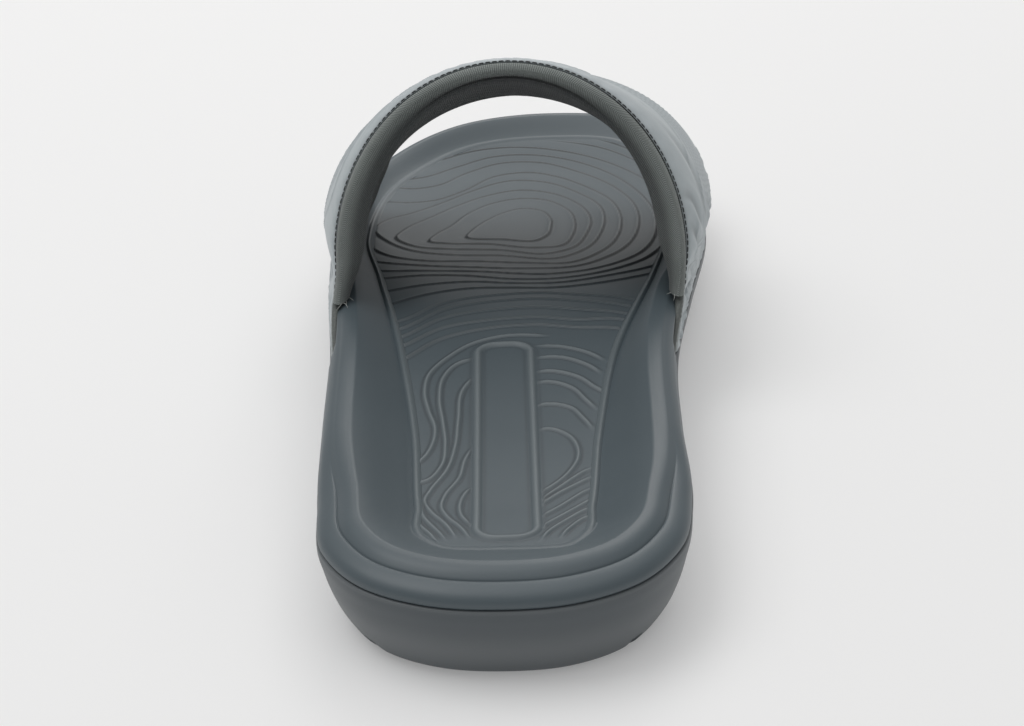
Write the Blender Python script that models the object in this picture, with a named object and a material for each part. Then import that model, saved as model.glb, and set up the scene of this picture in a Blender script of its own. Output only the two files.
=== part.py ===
"""Left sport slide sandal: two-part moulded sole and a padded strap.

Four closed solids.  The outsole is a tray with a convex wall and a grooved
tread.  The footbed lies in the tray.  The strap is an open arch of two walls,
the outer shell and the padded lining, whose ends are tucked between the two
parts of the sole.

Frame: +Y toward the toe, +X toward the medial (big toe) side, +Z up, floor at
z = 0, origin under the middle of the shoe.  Sizes are in millimetres and become
metres when a mesh is made.
"""

import math

import bmesh
import bpy
import numpy as np

MM = 0.001

# Sizes of the sole.
SOLE_LENGTH = 285.0      # heel back to toe tip, at the parting line
BALL_WIDTH = 108.0       # widest, across the ball of the foot
RIM_HEIGHT = 27.0        # floor to the crest of the heel cup
BED_THICKNESS = 8.0      # footbed under the sunk panel
PANEL_SINK = 1.7         # panel below the inner foot of the wings
BEAD_WIDTH = 2.2         # raised bead that borders the panel
BEAD_HEIGHT = 0.8
SIDE_TUCK = 10.5         # outline to the flat underside
RIM_INSET = 9.8          # outline to where the dished wing starts
RIM_ROOM = 0.85          # most of the way to the bead that the rim may take
TRAY_INSET = 13.0        # outline to the flat floor of the tray
WING_STEP = 0.25         # wing over the panel where no bead stands
GAP = 0.3                # between pieces that meet

# Sizes of the tread.
GROOVE_WIDTH = 3.2
GROOVE_DEPTH = 2.4
GROOVE_END_DEPTH = 3.8   # where the grooves run out at the sides
CUTTER_BELOW = 4.0       # how far their cutter reaches under the floor
GROOVE_PITCH = 17.0
GROOVE_WAVE = 2.2        # height of the wave that each groove follows
HEEL_GROOVES = 4
FOREFOOT_GROOVES = 7
HEEL_GROOVE_START = 0.058    # first groove's place, share of the length
FOREFOOT_GROOVE_START = 0.560

# Sizes of the plaque.
PLAQUE_LENGTH = 0.3474 * SOLE_LENGTH
PLAQUE_WIDTH = 15.6
PLAQUE_BEAD = 2.0
PLAQUE_RISE = 1.0
PLAQUE_CORNER = 6.0
PLAQUE_PLACE = 0.270     # its middle, share of the sole's length
PLAQUE_OFFSET = -0.9     # its middle, toward the lateral side
PLAQUE_TURN = 2.2        # degrees, its front end toward the lateral side

# Sizes of the strap.
STRAP_HEIGHT = 87.3      # floor to the crown of the strap's rear edge
SHELL_WALL = 1.4
SEAT_CLEARANCE = 0.7     # footbed's side to the shell that runs down over it
PUFF_RISE = 16.0         # height over the rim in which the padding fills out
LATERAL_PUFF = 3.8       # padding outside the line between the two edges,
CROWN_PUFF = 2.4         # by place round the arch
MEDIAL_PUFF = 5.4
CROWN_LINING = 4.4       # padding inside that line, at the crown
FLANK_LINING = 8.2       # and at the two flanks
LINING_ROLL = 2.0        # lining that shows beyond the shell's edge
LINING_EDGE = 1.6        # least depth of the lining at its edges
LINING_GAP = 0.5         # between the shell and the lining's soft face

# Numbers of facets.
STEPS_PER_ROW = 4        # facets between two rows of the outline table
PANEL_STEPS = 5          # facets across the panel
LEG_STEPS = 4            # facets up each leg of the strap
ARCH_STEPS = 22          # facets over its arch
STRAP_STEPS = 9          # facets from its rear edge to its front edge

# Plan of the sole.  Lengths are shares: across of half the ball width, medial
# side positive, and along of the sole's length.  "bed" is the middle of the
# bead round the sunk panel.
#   name            outline across, along   bed across, along
PLAN = (
    ("heel_back",      0.010, 0.000,   0.020, 0.0845),
    ("heel_curve_l",  -0.290, 0.0075, -0.110, 0.0845),
    ("heel_corner_l", -0.563, 0.036,  -0.235, 0.088),
    ("heel_turn_l",   -0.737, 0.085,  -0.330, 0.105),
    ("heel_side_l",   -0.797, 0.160,  -0.368, 0.160),
    ("seat_l",        -0.839, 0.275,  -0.425, 0.282),
    ("waist_l",       -0.885, 0.430,  -0.540, 0.430),
    ("ball_l",        -0.972, 0.581,  -0.705, 0.592),
    ("little_toe_l",  -1.015, 0.732,  -0.820, 0.725),
    ("toe_corner_l",  -0.880, 0.882,  -0.710, 0.857),
    ("toe_l",         -0.425, 0.976,  -0.340, 0.938),
    ("toe_tip",        0.148, 1.000,   0.148, 0.955),
    ("toe_m",          0.611, 0.983,   0.520, 0.941),
    ("big_toe_m",      0.917, 0.898,   0.730, 0.874),
    ("ball_m",         0.985, 0.746,   0.770, 0.737),
    ("forewaist_m",    0.880, 0.581,   0.667, 0.581),
    ("waist_m",        0.774, 0.4155,  0.472, 0.4155),
    ("seat_m",         0.772, 0.268,   0.395, 0.275),
    ("heel_side_m",    0.788, 0.160,   0.365, 0.160),
    ("heel_turn_m",    0.730, 0.085,   0.335, 0.105),
    ("heel_corner_m",  0.565, 0.036,   0.265, 0.088),
    ("heel_curve_m",   0.305, 0.0075,  0.145, 0.0845),
)

# Levels along the sole.  Heights are shares of the rim's height.
#   along, underside, parting, rim, bed, dish of the panel's edges
LEVELS = (
    (0.00, 0.000, 0.745, 0.990, 0.815, 0.02),
    (0.09, 0.000, 0.745, 0.995, 0.800, 0.02),
    (0.17, 0.000, 0.750, 1.005, 0.735, 0.02),
    (0.30, 0.020, 0.765, 1.045, 0.755, 0.02),
    (0.42, 0.060, 0.775, 1.090, 0.845, 0.02),
    (0.52, 0.045, 0.760, 1.075, 0.880, 0.02),
    (0.62, 0.000, 0.705, 1.005, 0.800, 0.02),
    (0.72, 0.000, 0.655, 0.940, 0.700, 0.05),
    (0.80, 0.020, 0.650, 0.930, 0.705, 0.10),
    (0.88, 0.110, 0.695, 0.965, 0.790, 0.12),
    (0.95, 0.240, 0.790, 1.060, 0.935, 0.08),
    (1.00, 0.350, 0.875, 1.145, 1.060, 0.04),
)
LEVEL_NAMES = ("along", "underside", "parting", "rim", "bed", "dish")

# Side wall of the outsole, from the floor up: inset from the outline as a share
# of the side's tuck, and height as a share of the way from the underside to the
# parting line.
OUTSOLE_WALL = (
    (1.000, 0.00),
    (0.820, 0.00),
    (0.657, 0.045),
    (0.438, 0.20),
    (0.219, 0.46),
    (0.067, 0.75),
    (0.000, 0.93),
    (0.019, 0.985),
    (0.086, 1.00),
)

# Seat between the two parts of the sole, from the edge in: inset as a share of
# the tray's inset, and drop as a share of the tray's depth.
TRAY_WALL = (
    (0.308, 0.00),
    (0.500, 0.55),
    (0.731, 0.93),
    (1.000, 1.00),
)

# Edge of the footbed, from the parting line over the rim to the wing: inset as a
# share of the rim's inset, and height as a share of the way from the parting line
# to the crest.  Round the heel a crease runs under the rim; the sides are one
# smooth sweep.
#   heel inset, height, side inset, height
FOOTBED_EDGE = (
    (0.090, 0.000, 0.090, 0.000),
    (0.015, 0.040, 0.015, 0.040),
    (0.036, 0.220, 0.020, 0.250),
    (0.170, 0.470, 0.070, 0.500),
    (0.430, 0.665, 0.160, 0.700),
    (0.520, 0.690, 0.250, 0.800),
    (0.560, 0.745, 0.350, 0.880),
    (0.680, 0.870, 0.500, 0.950),
    (0.820, 0.960, 0.700, 0.990),
    (1.000, 1.000, 1.000, 1.000),
)

# Wing from the rim to the bead's foot: share of the way across.
WING_STEPS = (0.22, 0.5, 0.78, 1.0)

# Sections of the strap from its rear edge to its front edge.  Widths are shares
# of half the ball width, heights of the strap's height.
#   edge share, half width, centre across, spring height, rise to the crown
STRAP_SECTIONS = (
    (0.0, 0.839, -0.018, 0.458, 0.542),
    (0.5, 0.905, -0.009, 0.384, 0.470),
    (1.0, 0.866, 0.000, 0.372, 0.366),
)

# Where the strap's edges run: height as a share of the strap's height, and the
# rear and front edge as shares of the sole's length.
#   height, rear edge, front edge
STRAP_EDGES = (
    (0.200, 0.412, 0.786),
    (0.235, 0.424, 0.784),
    (0.330, 0.493, 0.780),
    (0.452, 0.506, 0.775),
    (0.589, 0.519, 0.768),
    (0.749, 0.535, 0.758),
    (0.896, 0.550, 0.748),
    (1.000, 0.560, 0.742),
)

COLOURS = {
    "outsole": ((0.105, 0.118, 0.122, 1.0), 0.62),
    "footbed": ((0.080, 0.104, 0.116, 1.0), 0.58),
    "strap_shell": ((0.330, 0.365, 0.375, 1.0), 0.48),
    "strap_lining": ((0.118, 0.136, 0.130, 1.0), 0.92),
}


def smooth_table(x, xs, ys):
    """Cubic through table rows, with slopes that never overshoot a row."""
    xs = np.asarray(xs, float)
    ys = np.asarray(ys, float)
    step = np.diff(xs)
    rise = np.diff(ys) / step
    slope = np.zeros_like(ys)
    same = rise[:-1] * rise[1:] > 0
    mean = np.where(same, 2 * rise[:-1] * rise[1:] / np.where(same, rise[:-1] + rise[1:], 1), 0)
    slope[1:-1] = mean
    slope[0] = rise[0]
    slope[-1] = rise[-1]
    x = np.clip(np.asarray(x, float), xs[0], xs[-1])
    i = np.clip(np.searchsorted(xs, x, side="right") - 1, 0, len(xs) - 2)
    t = (x - xs[i]) / step[i]
    h00 = (1 + 2 * t) * (1 - t) ** 2
    h10 = t * (1 - t) ** 2
    h01 = t * t * (3 - 2 * t)
    h11 = t * t * (t - 1)
    return h00 * ys[i] + h10 * step[i] * slope[i] + h01 * ys[i + 1] + h11 * step[i] * slope[i + 1]


def closed_curve(points, steps):
    """Closed smooth curve through the points, with `steps` facets between rows.

    Each stretch is a cubic between two points.  The direction at a point leans
    toward its nearer neighbour, which keeps uneven rows from bulging.
    """
    p = np.asarray(points, float)
    ahead = np.roll(p, -1, axis=0) - p
    span = np.linalg.norm(ahead, axis=1)[:, None]
    before = np.roll(span, 1, axis=0)
    rate = ahead / span
    direction = (rate * before + np.roll(rate, 1, axis=0) * span) / (span + before)
    place = np.arange(len(p) * steps) / steps
    i = place.astype(int)
    j = (i + 1) % len(p)
    t = (place - i)[:, None]
    start = (1 + 2 * t) * (1 - t) ** 2 * p[i] + t * (1 - t) ** 2 * span[i] * direction[i]
    return start + t * t * (3 - 2 * t) * p[j] + t * t * (t - 1) * span[i] * direction[j]


def inward_normals(loop):
    """Unit vectors in the plan that point into the loop, one for each point."""
    along = np.roll(loop, -1, axis=0) - np.roll(loop, 1, axis=0)
    along /= np.linalg.norm(along, axis=1)[:, None]
    return np.column_stack([along[:, 1], -along[:, 0]])


def level(name, y):
    """Height in millimetres of a named level at a place along the sole."""
    column = LEVEL_NAMES.index(name)
    rows = np.array(LEVELS)
    return RIM_HEIGHT * smooth_table(np.asarray(y) / SOLE_LENGTH, rows[:, 0], rows[:, column])


HALF_BALL = BALL_WIDTH / 2
OUTLINE = closed_curve([(r[1] * HALF_BALL, r[2] * SOLE_LENGTH) for r in PLAN], STEPS_PER_ROW)
OUTLINE_IN = inward_normals(OUTLINE)
BED_EDGE = closed_curve([(r[3] * HALF_BALL, r[4] * SOLE_LENGTH) for r in PLAN], STEPS_PER_ROW)
BED_IN = inward_normals(BED_EDGE)
COLUMNS = len(OUTLINE)
TOE_COLUMN = COLUMNS // 2


def place_ring(plan, height):
    """Ring of points: a plan loop with one height for each point."""
    return np.column_stack([plan, np.broadcast_to(height, len(plan))])


def strap_seat(y):
    """Share of the strap's seat, where the footbed makes room for the shell."""
    share = np.asarray(y) / SOLE_LENGTH
    return smooth_table(share, (0.0, 0.385, 0.42, 0.805, 0.84, 1.0), (0, 0, 1, 1, 0, 0))


def crease_share(y):
    """How far the crease under the rim is pinched: round the heel, not the sides."""
    share = np.asarray(y) / SOLE_LENGTH
    return smooth_table(share, (0.0, 0.12, 0.27, 1.0), (1, 1, 0, 0))


def outline_x(side, y):
    """Across place of the outline on one side: -1 lateral, +1 medial."""
    half = OUTLINE[:TOE_COLUMN + 1] if side < 0 else np.vstack([OUTLINE[:1], OUTLINE[:TOE_COLUMN - 1:-1]])
    order = np.argsort(half[:, 1])
    return np.interp(y, half[order, 1], half[order, 0])


def capped_rings(rings, start_height, end_height, steps):
    """Faces between rings, and a ladder of faces across the first and last ring.

    A ladder joins the two sides of a ring straight across, row by row, from the
    heel to the toe.  Its heights come from the two height functions of x and y.
    """
    points = [tuple(p) for ring in rings for p in ring]
    faces = []
    for r in range(len(rings) - 1):
        a = r * COLUMNS
        b = a + COLUMNS
        for i in range(COLUMNS):
            j = (i + 1) % COLUMNS
            faces.append((a + i, a + j, b + j, b + i))

    def ladder(first, ring, height, flip):
        rows = []
        for i in range(1, TOE_COLUMN):
            left = ring[i]
            right = ring[COLUMNS - i]
            row = [first + i]
            for k in range(1, steps):
                t = k / steps
                x = left[0] + (right[0] - left[0]) * t
                y = left[1] + (right[1] - left[1]) * t
                row.append(len(points))
                points.append((x, y, float(height(x, y))))
            row.append(first + COLUMNS - i)
            rows.append(row)
        cap = []
        for k in range(steps):
            cap.append((first, rows[0][k + 1], rows[0][k]))
            cap.append((first + TOE_COLUMN, rows[-1][k], rows[-1][k + 1]))
        for low, high in zip(rows, rows[1:]):
            for k in range(steps):
                cap.append((low[k], low[k + 1], high[k + 1], high[k]))
        faces.extend([tuple(reversed(f)) for f in cap] if flip else cap)

    ladder(0, rings[0], start_height, True)
    ladder((len(rings) - 1) * COLUMNS, rings[-1], end_height, False)
    return points, faces


def tray_rings(extra):
    """Rings of the seat between the two parts of the sole, from the edge in.

    `extra` lifts and insets them, so that the footbed clears the outsole.
    """
    floor = lambda y: level("bed", y) - BED_THICKNESS
    rings = []
    for inset, drop in TRAY_WALL:
        plan = OUTLINE + OUTLINE_IN * (inset * TRAY_INSET + extra)
        top = level("parting", plan[:, 1])
        height = top + (floor(plan[:, 1]) - top) * drop
        rings.append(place_ring(plan, height + extra))
    return rings


def make_object(name, points, faces):
    """Closed mesh object with outward faces, from points in millimetres."""
    mesh = bpy.data.meshes.new(name)
    origin = np.array([0.0, SOLE_LENGTH / 2, 0.0])
    mesh.from_pydata([tuple((np.array(p) - origin) * MM) for p in points], [], faces)
    work = bmesh.new()
    work.from_mesh(mesh)
    bmesh.ops.recalc_face_normals(work, faces=work.faces)
    work.to_mesh(mesh)
    work.free()
    mesh.update()
    thing = bpy.data.objects.new(name, mesh)
    bpy.context.scene.collection.objects.link(thing)
    return thing


def add_material(thing):
    """The piece's own Principled material."""
    colour, roughness = COLOURS[thing.name]
    material = bpy.data.materials.new(thing.name + "_material")
    material.use_nodes = True
    shader = material.node_tree.nodes["Principled BSDF"]
    shader.inputs["Base Color"].default_value = colour
    shader.inputs["Roughness"].default_value = roughness
    shader.inputs["Metallic"].default_value = 0.0
    material.diffuse_color = colour
    thing.data.materials.append(material)


def add_boolean(thing, cutter, operation):
    """Exact Boolean with a helper that is hidden in renders."""
    cutter.hide_render = True
    cutter.display_type = "WIRE"
    modifier = thing.modifiers.new(cutter.name, "BOOLEAN")
    modifier.operation = operation
    modifier.solver = "EXACT"
    modifier.object = cutter


def groove_places():
    """Places along the sole, in millimetres, of the tread's cross grooves."""
    heel = [HEEL_GROOVE_START * SOLE_LENGTH + GROOVE_PITCH * k for k in range(HEEL_GROOVES)]
    ball = [FOREFOOT_GROOVE_START * SOLE_LENGTH + GROOVE_PITCH * k for k in range(FOREFOOT_GROOVES)]
    return heel + ball


def make_groove_cutter():
    """One prism for each groove, swept across the sole along a gentle wave."""
    points = []
    faces = []
    across = np.linspace(-1.25 * HALF_BALL, 1.25 * HALF_BALL, 25)
    for start in groove_places():
        base = len(points)
        y = start + GROOVE_WAVE * np.sin(2 * math.pi * across / HALF_BALL)
        run_out = np.clip((np.abs(across) / HALF_BALL - 0.35) / 0.2, 0, 1)
        depth = GROOVE_DEPTH + (GROOVE_END_DEPTH - GROOVE_DEPTH) * run_out
        top = np.maximum(level("underside", y), 0) + depth
        for k, x in enumerate(across):
            for dy, z in ((-1, -CUTTER_BELOW), (1, -CUTTER_BELOW), (1, top[k]), (-1, top[k])):
                points.append((x, y[k] + dy * GROOVE_WIDTH / 2, z))
        for k in range(len(across) - 1):
            a = base + 4 * k
            for c in range(4):
                d = (c + 1) % 4
                faces.append((a + c, a + d, a + 4 + d, a + 4 + c))
        last = base + 4 * (len(across) - 1)
        faces.append((base + 3, base + 2, base + 1, base))
        faces.append((last, last + 1, last + 2, last + 3))
    return make_object("groove_cutter", points, faces)


def make_outsole():
    """Tray with a convex wall, flat heel and ball, toe spring and cross grooves."""
    rings = []
    for inset, share in OUTSOLE_WALL:
        plan = OUTLINE + OUTLINE_IN * inset * SIDE_TUCK
        low = np.maximum(level("underside", plan[:, 1]), 0)
        high = level("parting", plan[:, 1])
        rings.append(place_ring(plan, low + (high - low) * share))
    rings += tray_rings(0.0)
    underside = lambda x, y: max(float(level("underside", y)), 0.0)
    floor = lambda x, y: level("bed", y) - BED_THICKNESS
    points, faces = capped_rings(rings, underside, floor, PANEL_STEPS)
    thing = make_object("outsole", points, faces)
    add_material(thing)
    add_boolean(thing, make_groove_cutter(), "DIFFERENCE")
    return thing


def bed_height(x, y):
    """Surface of the sunk panel: the bed level, a little dished across."""
    return level("bed", y) + level("dish", y) * (x / HALF_BALL) ** 2


def bead_share(y):
    """How far the bead stands: gone behind the heel and under the toes."""
    share = np.asarray(y) / SOLE_LENGTH
    return smooth_table(share, (0.0, 0.088, 0.14, 0.66, 0.80, 1.0), (0, 0, 1, 1, 0.15, 0))


def sink_depth(y):
    """How far the panel lies under the inner foot of the wings, in millimetres."""
    share = np.asarray(y) / SOLE_LENGTH
    places = (0.0, 0.088, 0.20, 0.40, 0.50, 0.66, 0.80, 1.0)
    return PANEL_SINK * smooth_table(share, places, (0, 0, 0.3, 0.8, 1, 1, 0.15, 0))


def behind_shell(side, y, z):
    """Inset from the outline to the inner face of the shell's leg at a height."""
    rear = strap_along(z, 0.0)
    v = np.clip((y - rear) / (strap_along(z, 1.0) - rear), 0, 1)
    edge = np.abs(outline_x(side, y))
    low = edge - SHELL_WALL / 2 - GAP
    high = HALF_BALL * (strap_value(1, v) + side * strap_value(2, v))
    seat = level("parting", y)
    t = np.clip((z - seat) / (STRAP_HEIGHT * strap_value(3, v) - seat), 0, 1)
    return edge - low - (high - low) * t * t * (3 - 2 * t) + SHELL_WALL / 2


def edge_rings(bead_foot):
    """Rings of the footbed's side and rim, from the parting line to the wing.

    Where the shell runs down over the side, the side stays behind its inner face.
    """
    reach = np.minimum(RIM_INSET, RIM_ROOM * np.linalg.norm(bead_foot - OUTLINE, axis=1))
    y = OUTLINE[:, 1]
    pinch = crease_share(y)
    low = level("parting", y) + GAP
    rings = []
    for heel_inset, heel_height, side_inset, side_height in FOOTBED_EDGE:
        inset = reach * (side_inset + (heel_inset - side_inset) * pinch)
        share = side_height + (heel_height - side_height) * pinch
        height = low + (level("rim", y) - low) * share
        room = np.where(OUTLINE[:, 0] < 0, behind_shell(-1, y, height), behind_shell(1, y, height))
        inset = np.maximum(inset, strap_seat(y) * (room + SEAT_CLEARANCE))
        plan = OUTLINE + OUTLINE_IN * inset[:, None]
        foot = level("parting", plan[:, 1]) + GAP
        rings.append(place_ring(plan, foot + (level("rim", plan[:, 1]) - foot) * share))
    return rings


def make_plaque_ring():
    """Raised frame of the plaque: a rounded rectangle swept with a square bead."""
    half_w = (PLAQUE_WIDTH - PLAQUE_BEAD) / 2
    half_l = (PLAQUE_LENGTH - PLAQUE_BEAD) / 2
    corner = PLAQUE_CORNER - PLAQUE_BEAD / 2
    path = []
    for quarter, (sx, sy) in enumerate(((1, 1), (-1, 1), (-1, -1), (1, -1))):
        for k in range(5):
            angle = math.radians(90 * quarter + 22.5 * k)
            path.append((sx * (half_w - corner) + corner * math.cos(angle),
                         sy * (half_l - corner) + corner * math.sin(angle),
                         math.cos(angle), math.sin(angle)))
        if quarter in (0, 2):
            continue
        side = -sx if quarter == 1 else sx
        for k in range(1, 12):
            t = k / 12
            run = (half_l - corner) * (1 - 2 * t)
            path.append((-half_w if quarter == 1 else half_w,
                         run if quarter == 1 else -run,
                         -1.0 if quarter == 1 else 1.0, 0.0))
    turn = math.radians(PLAQUE_TURN)
    points = []
    for px, py, nx, ny in path:
        for side, lift in ((-1, -PLAQUE_RISE), (1, -PLAQUE_RISE), (0.7, PLAQUE_RISE), (-0.7, PLAQUE_RISE)):
            qx = px + nx * side * PLAQUE_BEAD / 2
            qy = py + ny * side * PLAQUE_BEAD / 2
            x = PLAQUE_OFFSET + qx * math.cos(turn) - qy * math.sin(turn)
            y = PLAQUE_PLACE * SOLE_LENGTH + qx * math.sin(turn) + qy * math.cos(turn)
            points.append((x, y, float(bed_height(x, y)) + lift))
    faces = []
    count = len(path)
    for k in range(count):
        a = 4 * k
        b = 4 * ((k + 1) % count)
        for c in range(4):
            d = (c + 1) % 4
            faces.append((a + c, a + d, b + d, b + c))
    return make_object("plaque_ring", points, faces)


def make_footbed():
    """Footbed: side, rim, dished wings, bead and sunk panel."""
    outer = BED_EDGE - BED_IN * BEAD_WIDTH / 2
    inner = BED_EDGE + BED_IN * BEAD_WIDTH / 2
    rings = list(reversed(tray_rings(GAP))) + edge_rings(outer)
    start = rings[-1]
    foot = bed_height(outer[:, 0], outer[:, 1]) + sink_depth(outer[:, 1]) + WING_STEP
    for t in WING_STEPS:
        plan = start[:, :2] + (outer - start[:, :2]) * t
        fall = 0.45 * t + 0.55 * t * t * (3 - 2 * t)
        rings.append(place_ring(plan, start[:, 2] + (foot - start[:, 2]) * fall))
    stand = bead_share(BED_EDGE[:, 1])
    ridge = bed_height(BED_EDGE[:, 0], BED_EDGE[:, 1]) + sink_depth(BED_EDGE[:, 1])
    rings.append(place_ring(BED_EDGE, ridge + BEAD_HEIGHT * stand + WING_STEP / 2))
    rings.append(place_ring(inner, bed_height(inner[:, 0], inner[:, 1])))

    underside = lambda x, y: level("bed", y) - BED_THICKNESS + GAP
    points, faces = capped_rings(rings, underside, bed_height, PANEL_STEPS)
    thing = make_object("footbed", points, faces)
    add_material(thing)
    add_boolean(thing, make_plaque_ring(), "UNION")
    return thing


def strap_value(column, v):
    """One column of the strap's sections at an edge share v."""
    rows = np.array(STRAP_SECTIONS)
    return smooth_table(v, rows[:, 0], rows[:, column])


def strap_along(z, v):
    """Place along the sole of the strap's surface at height z and edge share v."""
    rows = np.array(STRAP_EDGES)
    share = z / STRAP_HEIGHT
    rear = smooth_table(share, rows[:, 0], rows[:, 1])
    front = smooth_table(share, rows[:, 0], rows[:, 2])
    return SOLE_LENGTH * (rear + (front - rear) * v)


def strap_grid(edge_shares, foot_level):
    """Middle surface of the strap: one arch of points for each edge share.

    Each arch climbs a leg from the sole, follows half an ellipse over the foot
    and comes down the other leg.  `foot_level` gives the leg's lowest height at
    a place along the sole.
    """
    grid = []
    for v in edge_shares:
        core = min(max(v, 0.0), 1.0)
        half = HALF_BALL * strap_value(1, core)
        centre = HALF_BALL * strap_value(2, core)
        spring = STRAP_HEIGHT * strap_value(3, core)
        rise = STRAP_HEIGHT * strap_value(4, core)
        arch = []
        for side in (-1, 1):
            leg = []
            foot = spring
            for _ in range(12):
                foot = float(foot_level(strap_along(foot, v)))
            for z in np.linspace(foot, spring, LEG_STEPS + 1)[:-1]:
                y = float(strap_along(z, v))
                seat = float(level("parting", y))
                low = outline_x(side, y) - side * (SHELL_WALL / 2 + GAP)
                t = (z - seat) / (spring - seat)
                x = low + (centre + side * half - low) * t * t * (3 - 2 * t)
                leg.append((x, y, z))
            if side < 0:
                arch += leg
                for k in range(ARCH_STEPS + 1):
                    angle = math.pi * k / ARCH_STEPS
                    z = spring + rise * math.sin(angle)
                    arch.append((centre - half * math.cos(angle), float(strap_along(z, v)), z))
            else:
                arch += leg[::-1]
        grid.append(arch)
    return np.array(grid)


def surface_normals(grid):
    """Outward unit normals of a grid of points, from its neighbours."""
    along = np.gradient(grid, axis=0)
    across = np.gradient(grid, axis=1)
    normal = np.cross(along, across)
    normal /= np.linalg.norm(normal, axis=2)[:, :, None]
    return -normal if normal[len(grid) // 2, grid.shape[1] // 2, 2] < 0 else normal


def pillow(v):
    """Padded profile between the strap's two edges: 0 at an edge, 1 between."""
    v = np.clip(v, 0, 1)
    return np.sqrt(np.maximum(1 - np.abs(2 * v - 1) ** 4, 0))


def flank_share(grid):
    """Place round the arch: 0 at the crown, -1 and +1 at the two flanks."""
    side = np.clip(2 * grid[:, :, 0] / BALL_WIDTH, -1, 1)
    return np.sign(side) * np.abs(side) ** 1.5


def leg_fade(grid):
    """Share of the padding: none at the sole, full a little above the rim."""
    rim = level("rim", grid[:, :, 1])
    t = np.clip((grid[:, :, 2] - rim) / PUFF_RISE, 0, 1)
    return t * t * (3 - 2 * t)


def closed_sheet(outer, inner):
    """Closed solid between two grids of points of the same shape."""
    rows, cols = outer.shape[:2]
    points = [tuple(p) for p in outer.reshape(-1, 3)] + [tuple(p) for p in inner.reshape(-1, 3)]
    half = rows * cols
    faces = []
    for r in range(rows - 1):
        for c in range(cols - 1):
            a = r * cols + c
            b = a + 1
            d = a + cols
            e = d + 1
            faces.append((a, b, e, d))
            faces.append((half + d, half + e, half + b, half + a))
    for r in range(rows - 1):
        for c in (0, cols - 1):
            a = r * cols + c
            b = a + cols
            faces.append((a, b, half + b, half + a))
    for c in range(cols - 1):
        for r in (0, rows - 1):
            a = r * cols + c
            b = a + 1
            faces.append((a, b, half + b, half + a))
    return points, faces


def edge_stations():
    """Edge shares from the rear edge to the front edge, closer at the edges."""
    k = np.arange(STRAP_STEPS + 1) / STRAP_STEPS
    return (1 - np.cos(math.pi * k)) / 2


def puffed_shell(foot_level):
    """Outer face of the shell and its normals, from a given foot level up."""
    stations = edge_stations()
    middle = strap_grid(stations, foot_level)
    normals = surface_normals(middle)
    side = flank_share(middle)
    flank = np.where(side < 0, LATERAL_PUFF, MEDIAL_PUFF)
    fullness = CROWN_PUFF + (flank - CROWN_PUFF) * np.abs(side)
    puff = fullness * pillow(stations)[:, None] * leg_fade(middle) + SHELL_WALL / 2
    outer = middle + normals * puff[:, :, None]
    return outer, surface_normals(outer)


def keep_above(foot_level, *sheets):
    """Raise the points of each sheet that lie under the level they stand on."""
    for sheet in sheets:
        sheet[:, :, 2] = np.maximum(sheet[:, :, 2], foot_level(sheet[:, :, 1]))


def make_strap_shell():
    """Outer shell of the strap: one wall, its feet tucked on the outsole's edge."""
    foot_level = lambda y: level("parting", y) + GAP
    outer, normals = puffed_shell(foot_level)
    inner = outer - normals * SHELL_WALL
    keep_above(foot_level, outer, inner)
    points, faces = closed_sheet(outer, inner)
    thing = make_object("strap_shell", points, faces)
    add_material(thing)
    return thing


def make_strap_lining():
    """Padded lining: under the shell, rolled past both of its edges."""
    foot_level = lambda y: level("rim", y) + 2 * GAP
    face, normals = puffed_shell(foot_level)
    outer = face - normals * (SHELL_WALL + LINING_GAP)
    stations = edge_stations()
    length = SOLE_LENGTH * (STRAP_EDGES[-1][2] - STRAP_EDGES[-1][1])
    roll = LINING_ROLL / length
    spread = -roll + (1 + 2 * roll) * stations
    middle = strap_grid(spread, foot_level)
    fullness = CROWN_LINING + (FLANK_LINING - CROWN_LINING) * np.abs(flank_share(middle))
    depth = LINING_EDGE + (fullness - LINING_EDGE) * pillow(stations)[:, None] * (0.45 + 0.55 * leg_fade(middle))
    inner = middle - surface_normals(middle) * depth[:, :, None]
    keep_above(foot_level, outer, inner)
    points, faces = closed_sheet(outer, inner)
    thing = make_object("strap_lining", points, faces)
    add_material(thing)
    return thing


def main():
    """Clear the scene and make the four pieces."""
    for thing in list(bpy.data.objects):
        bpy.data.objects.remove(thing, do_unlink=True)
    make_outsole()
    make_footbed()
    make_strap_shell()
    make_strap_lining()


main()
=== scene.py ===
# %% [markdown]
# # A moulded sport slide
#
# This lesson dresses the solids of a left sport slide sandal.  The real shoe has
# a foam sole, moulded in two parts, and one broad padded strap.  Each cell below
# makes one piece or one finish.  Shapes are worked out as whole numpy arrays in
# millimetres, measured from the back of the heel, and become metres only when a
# mesh is made.

# %% The frame
import math

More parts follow.
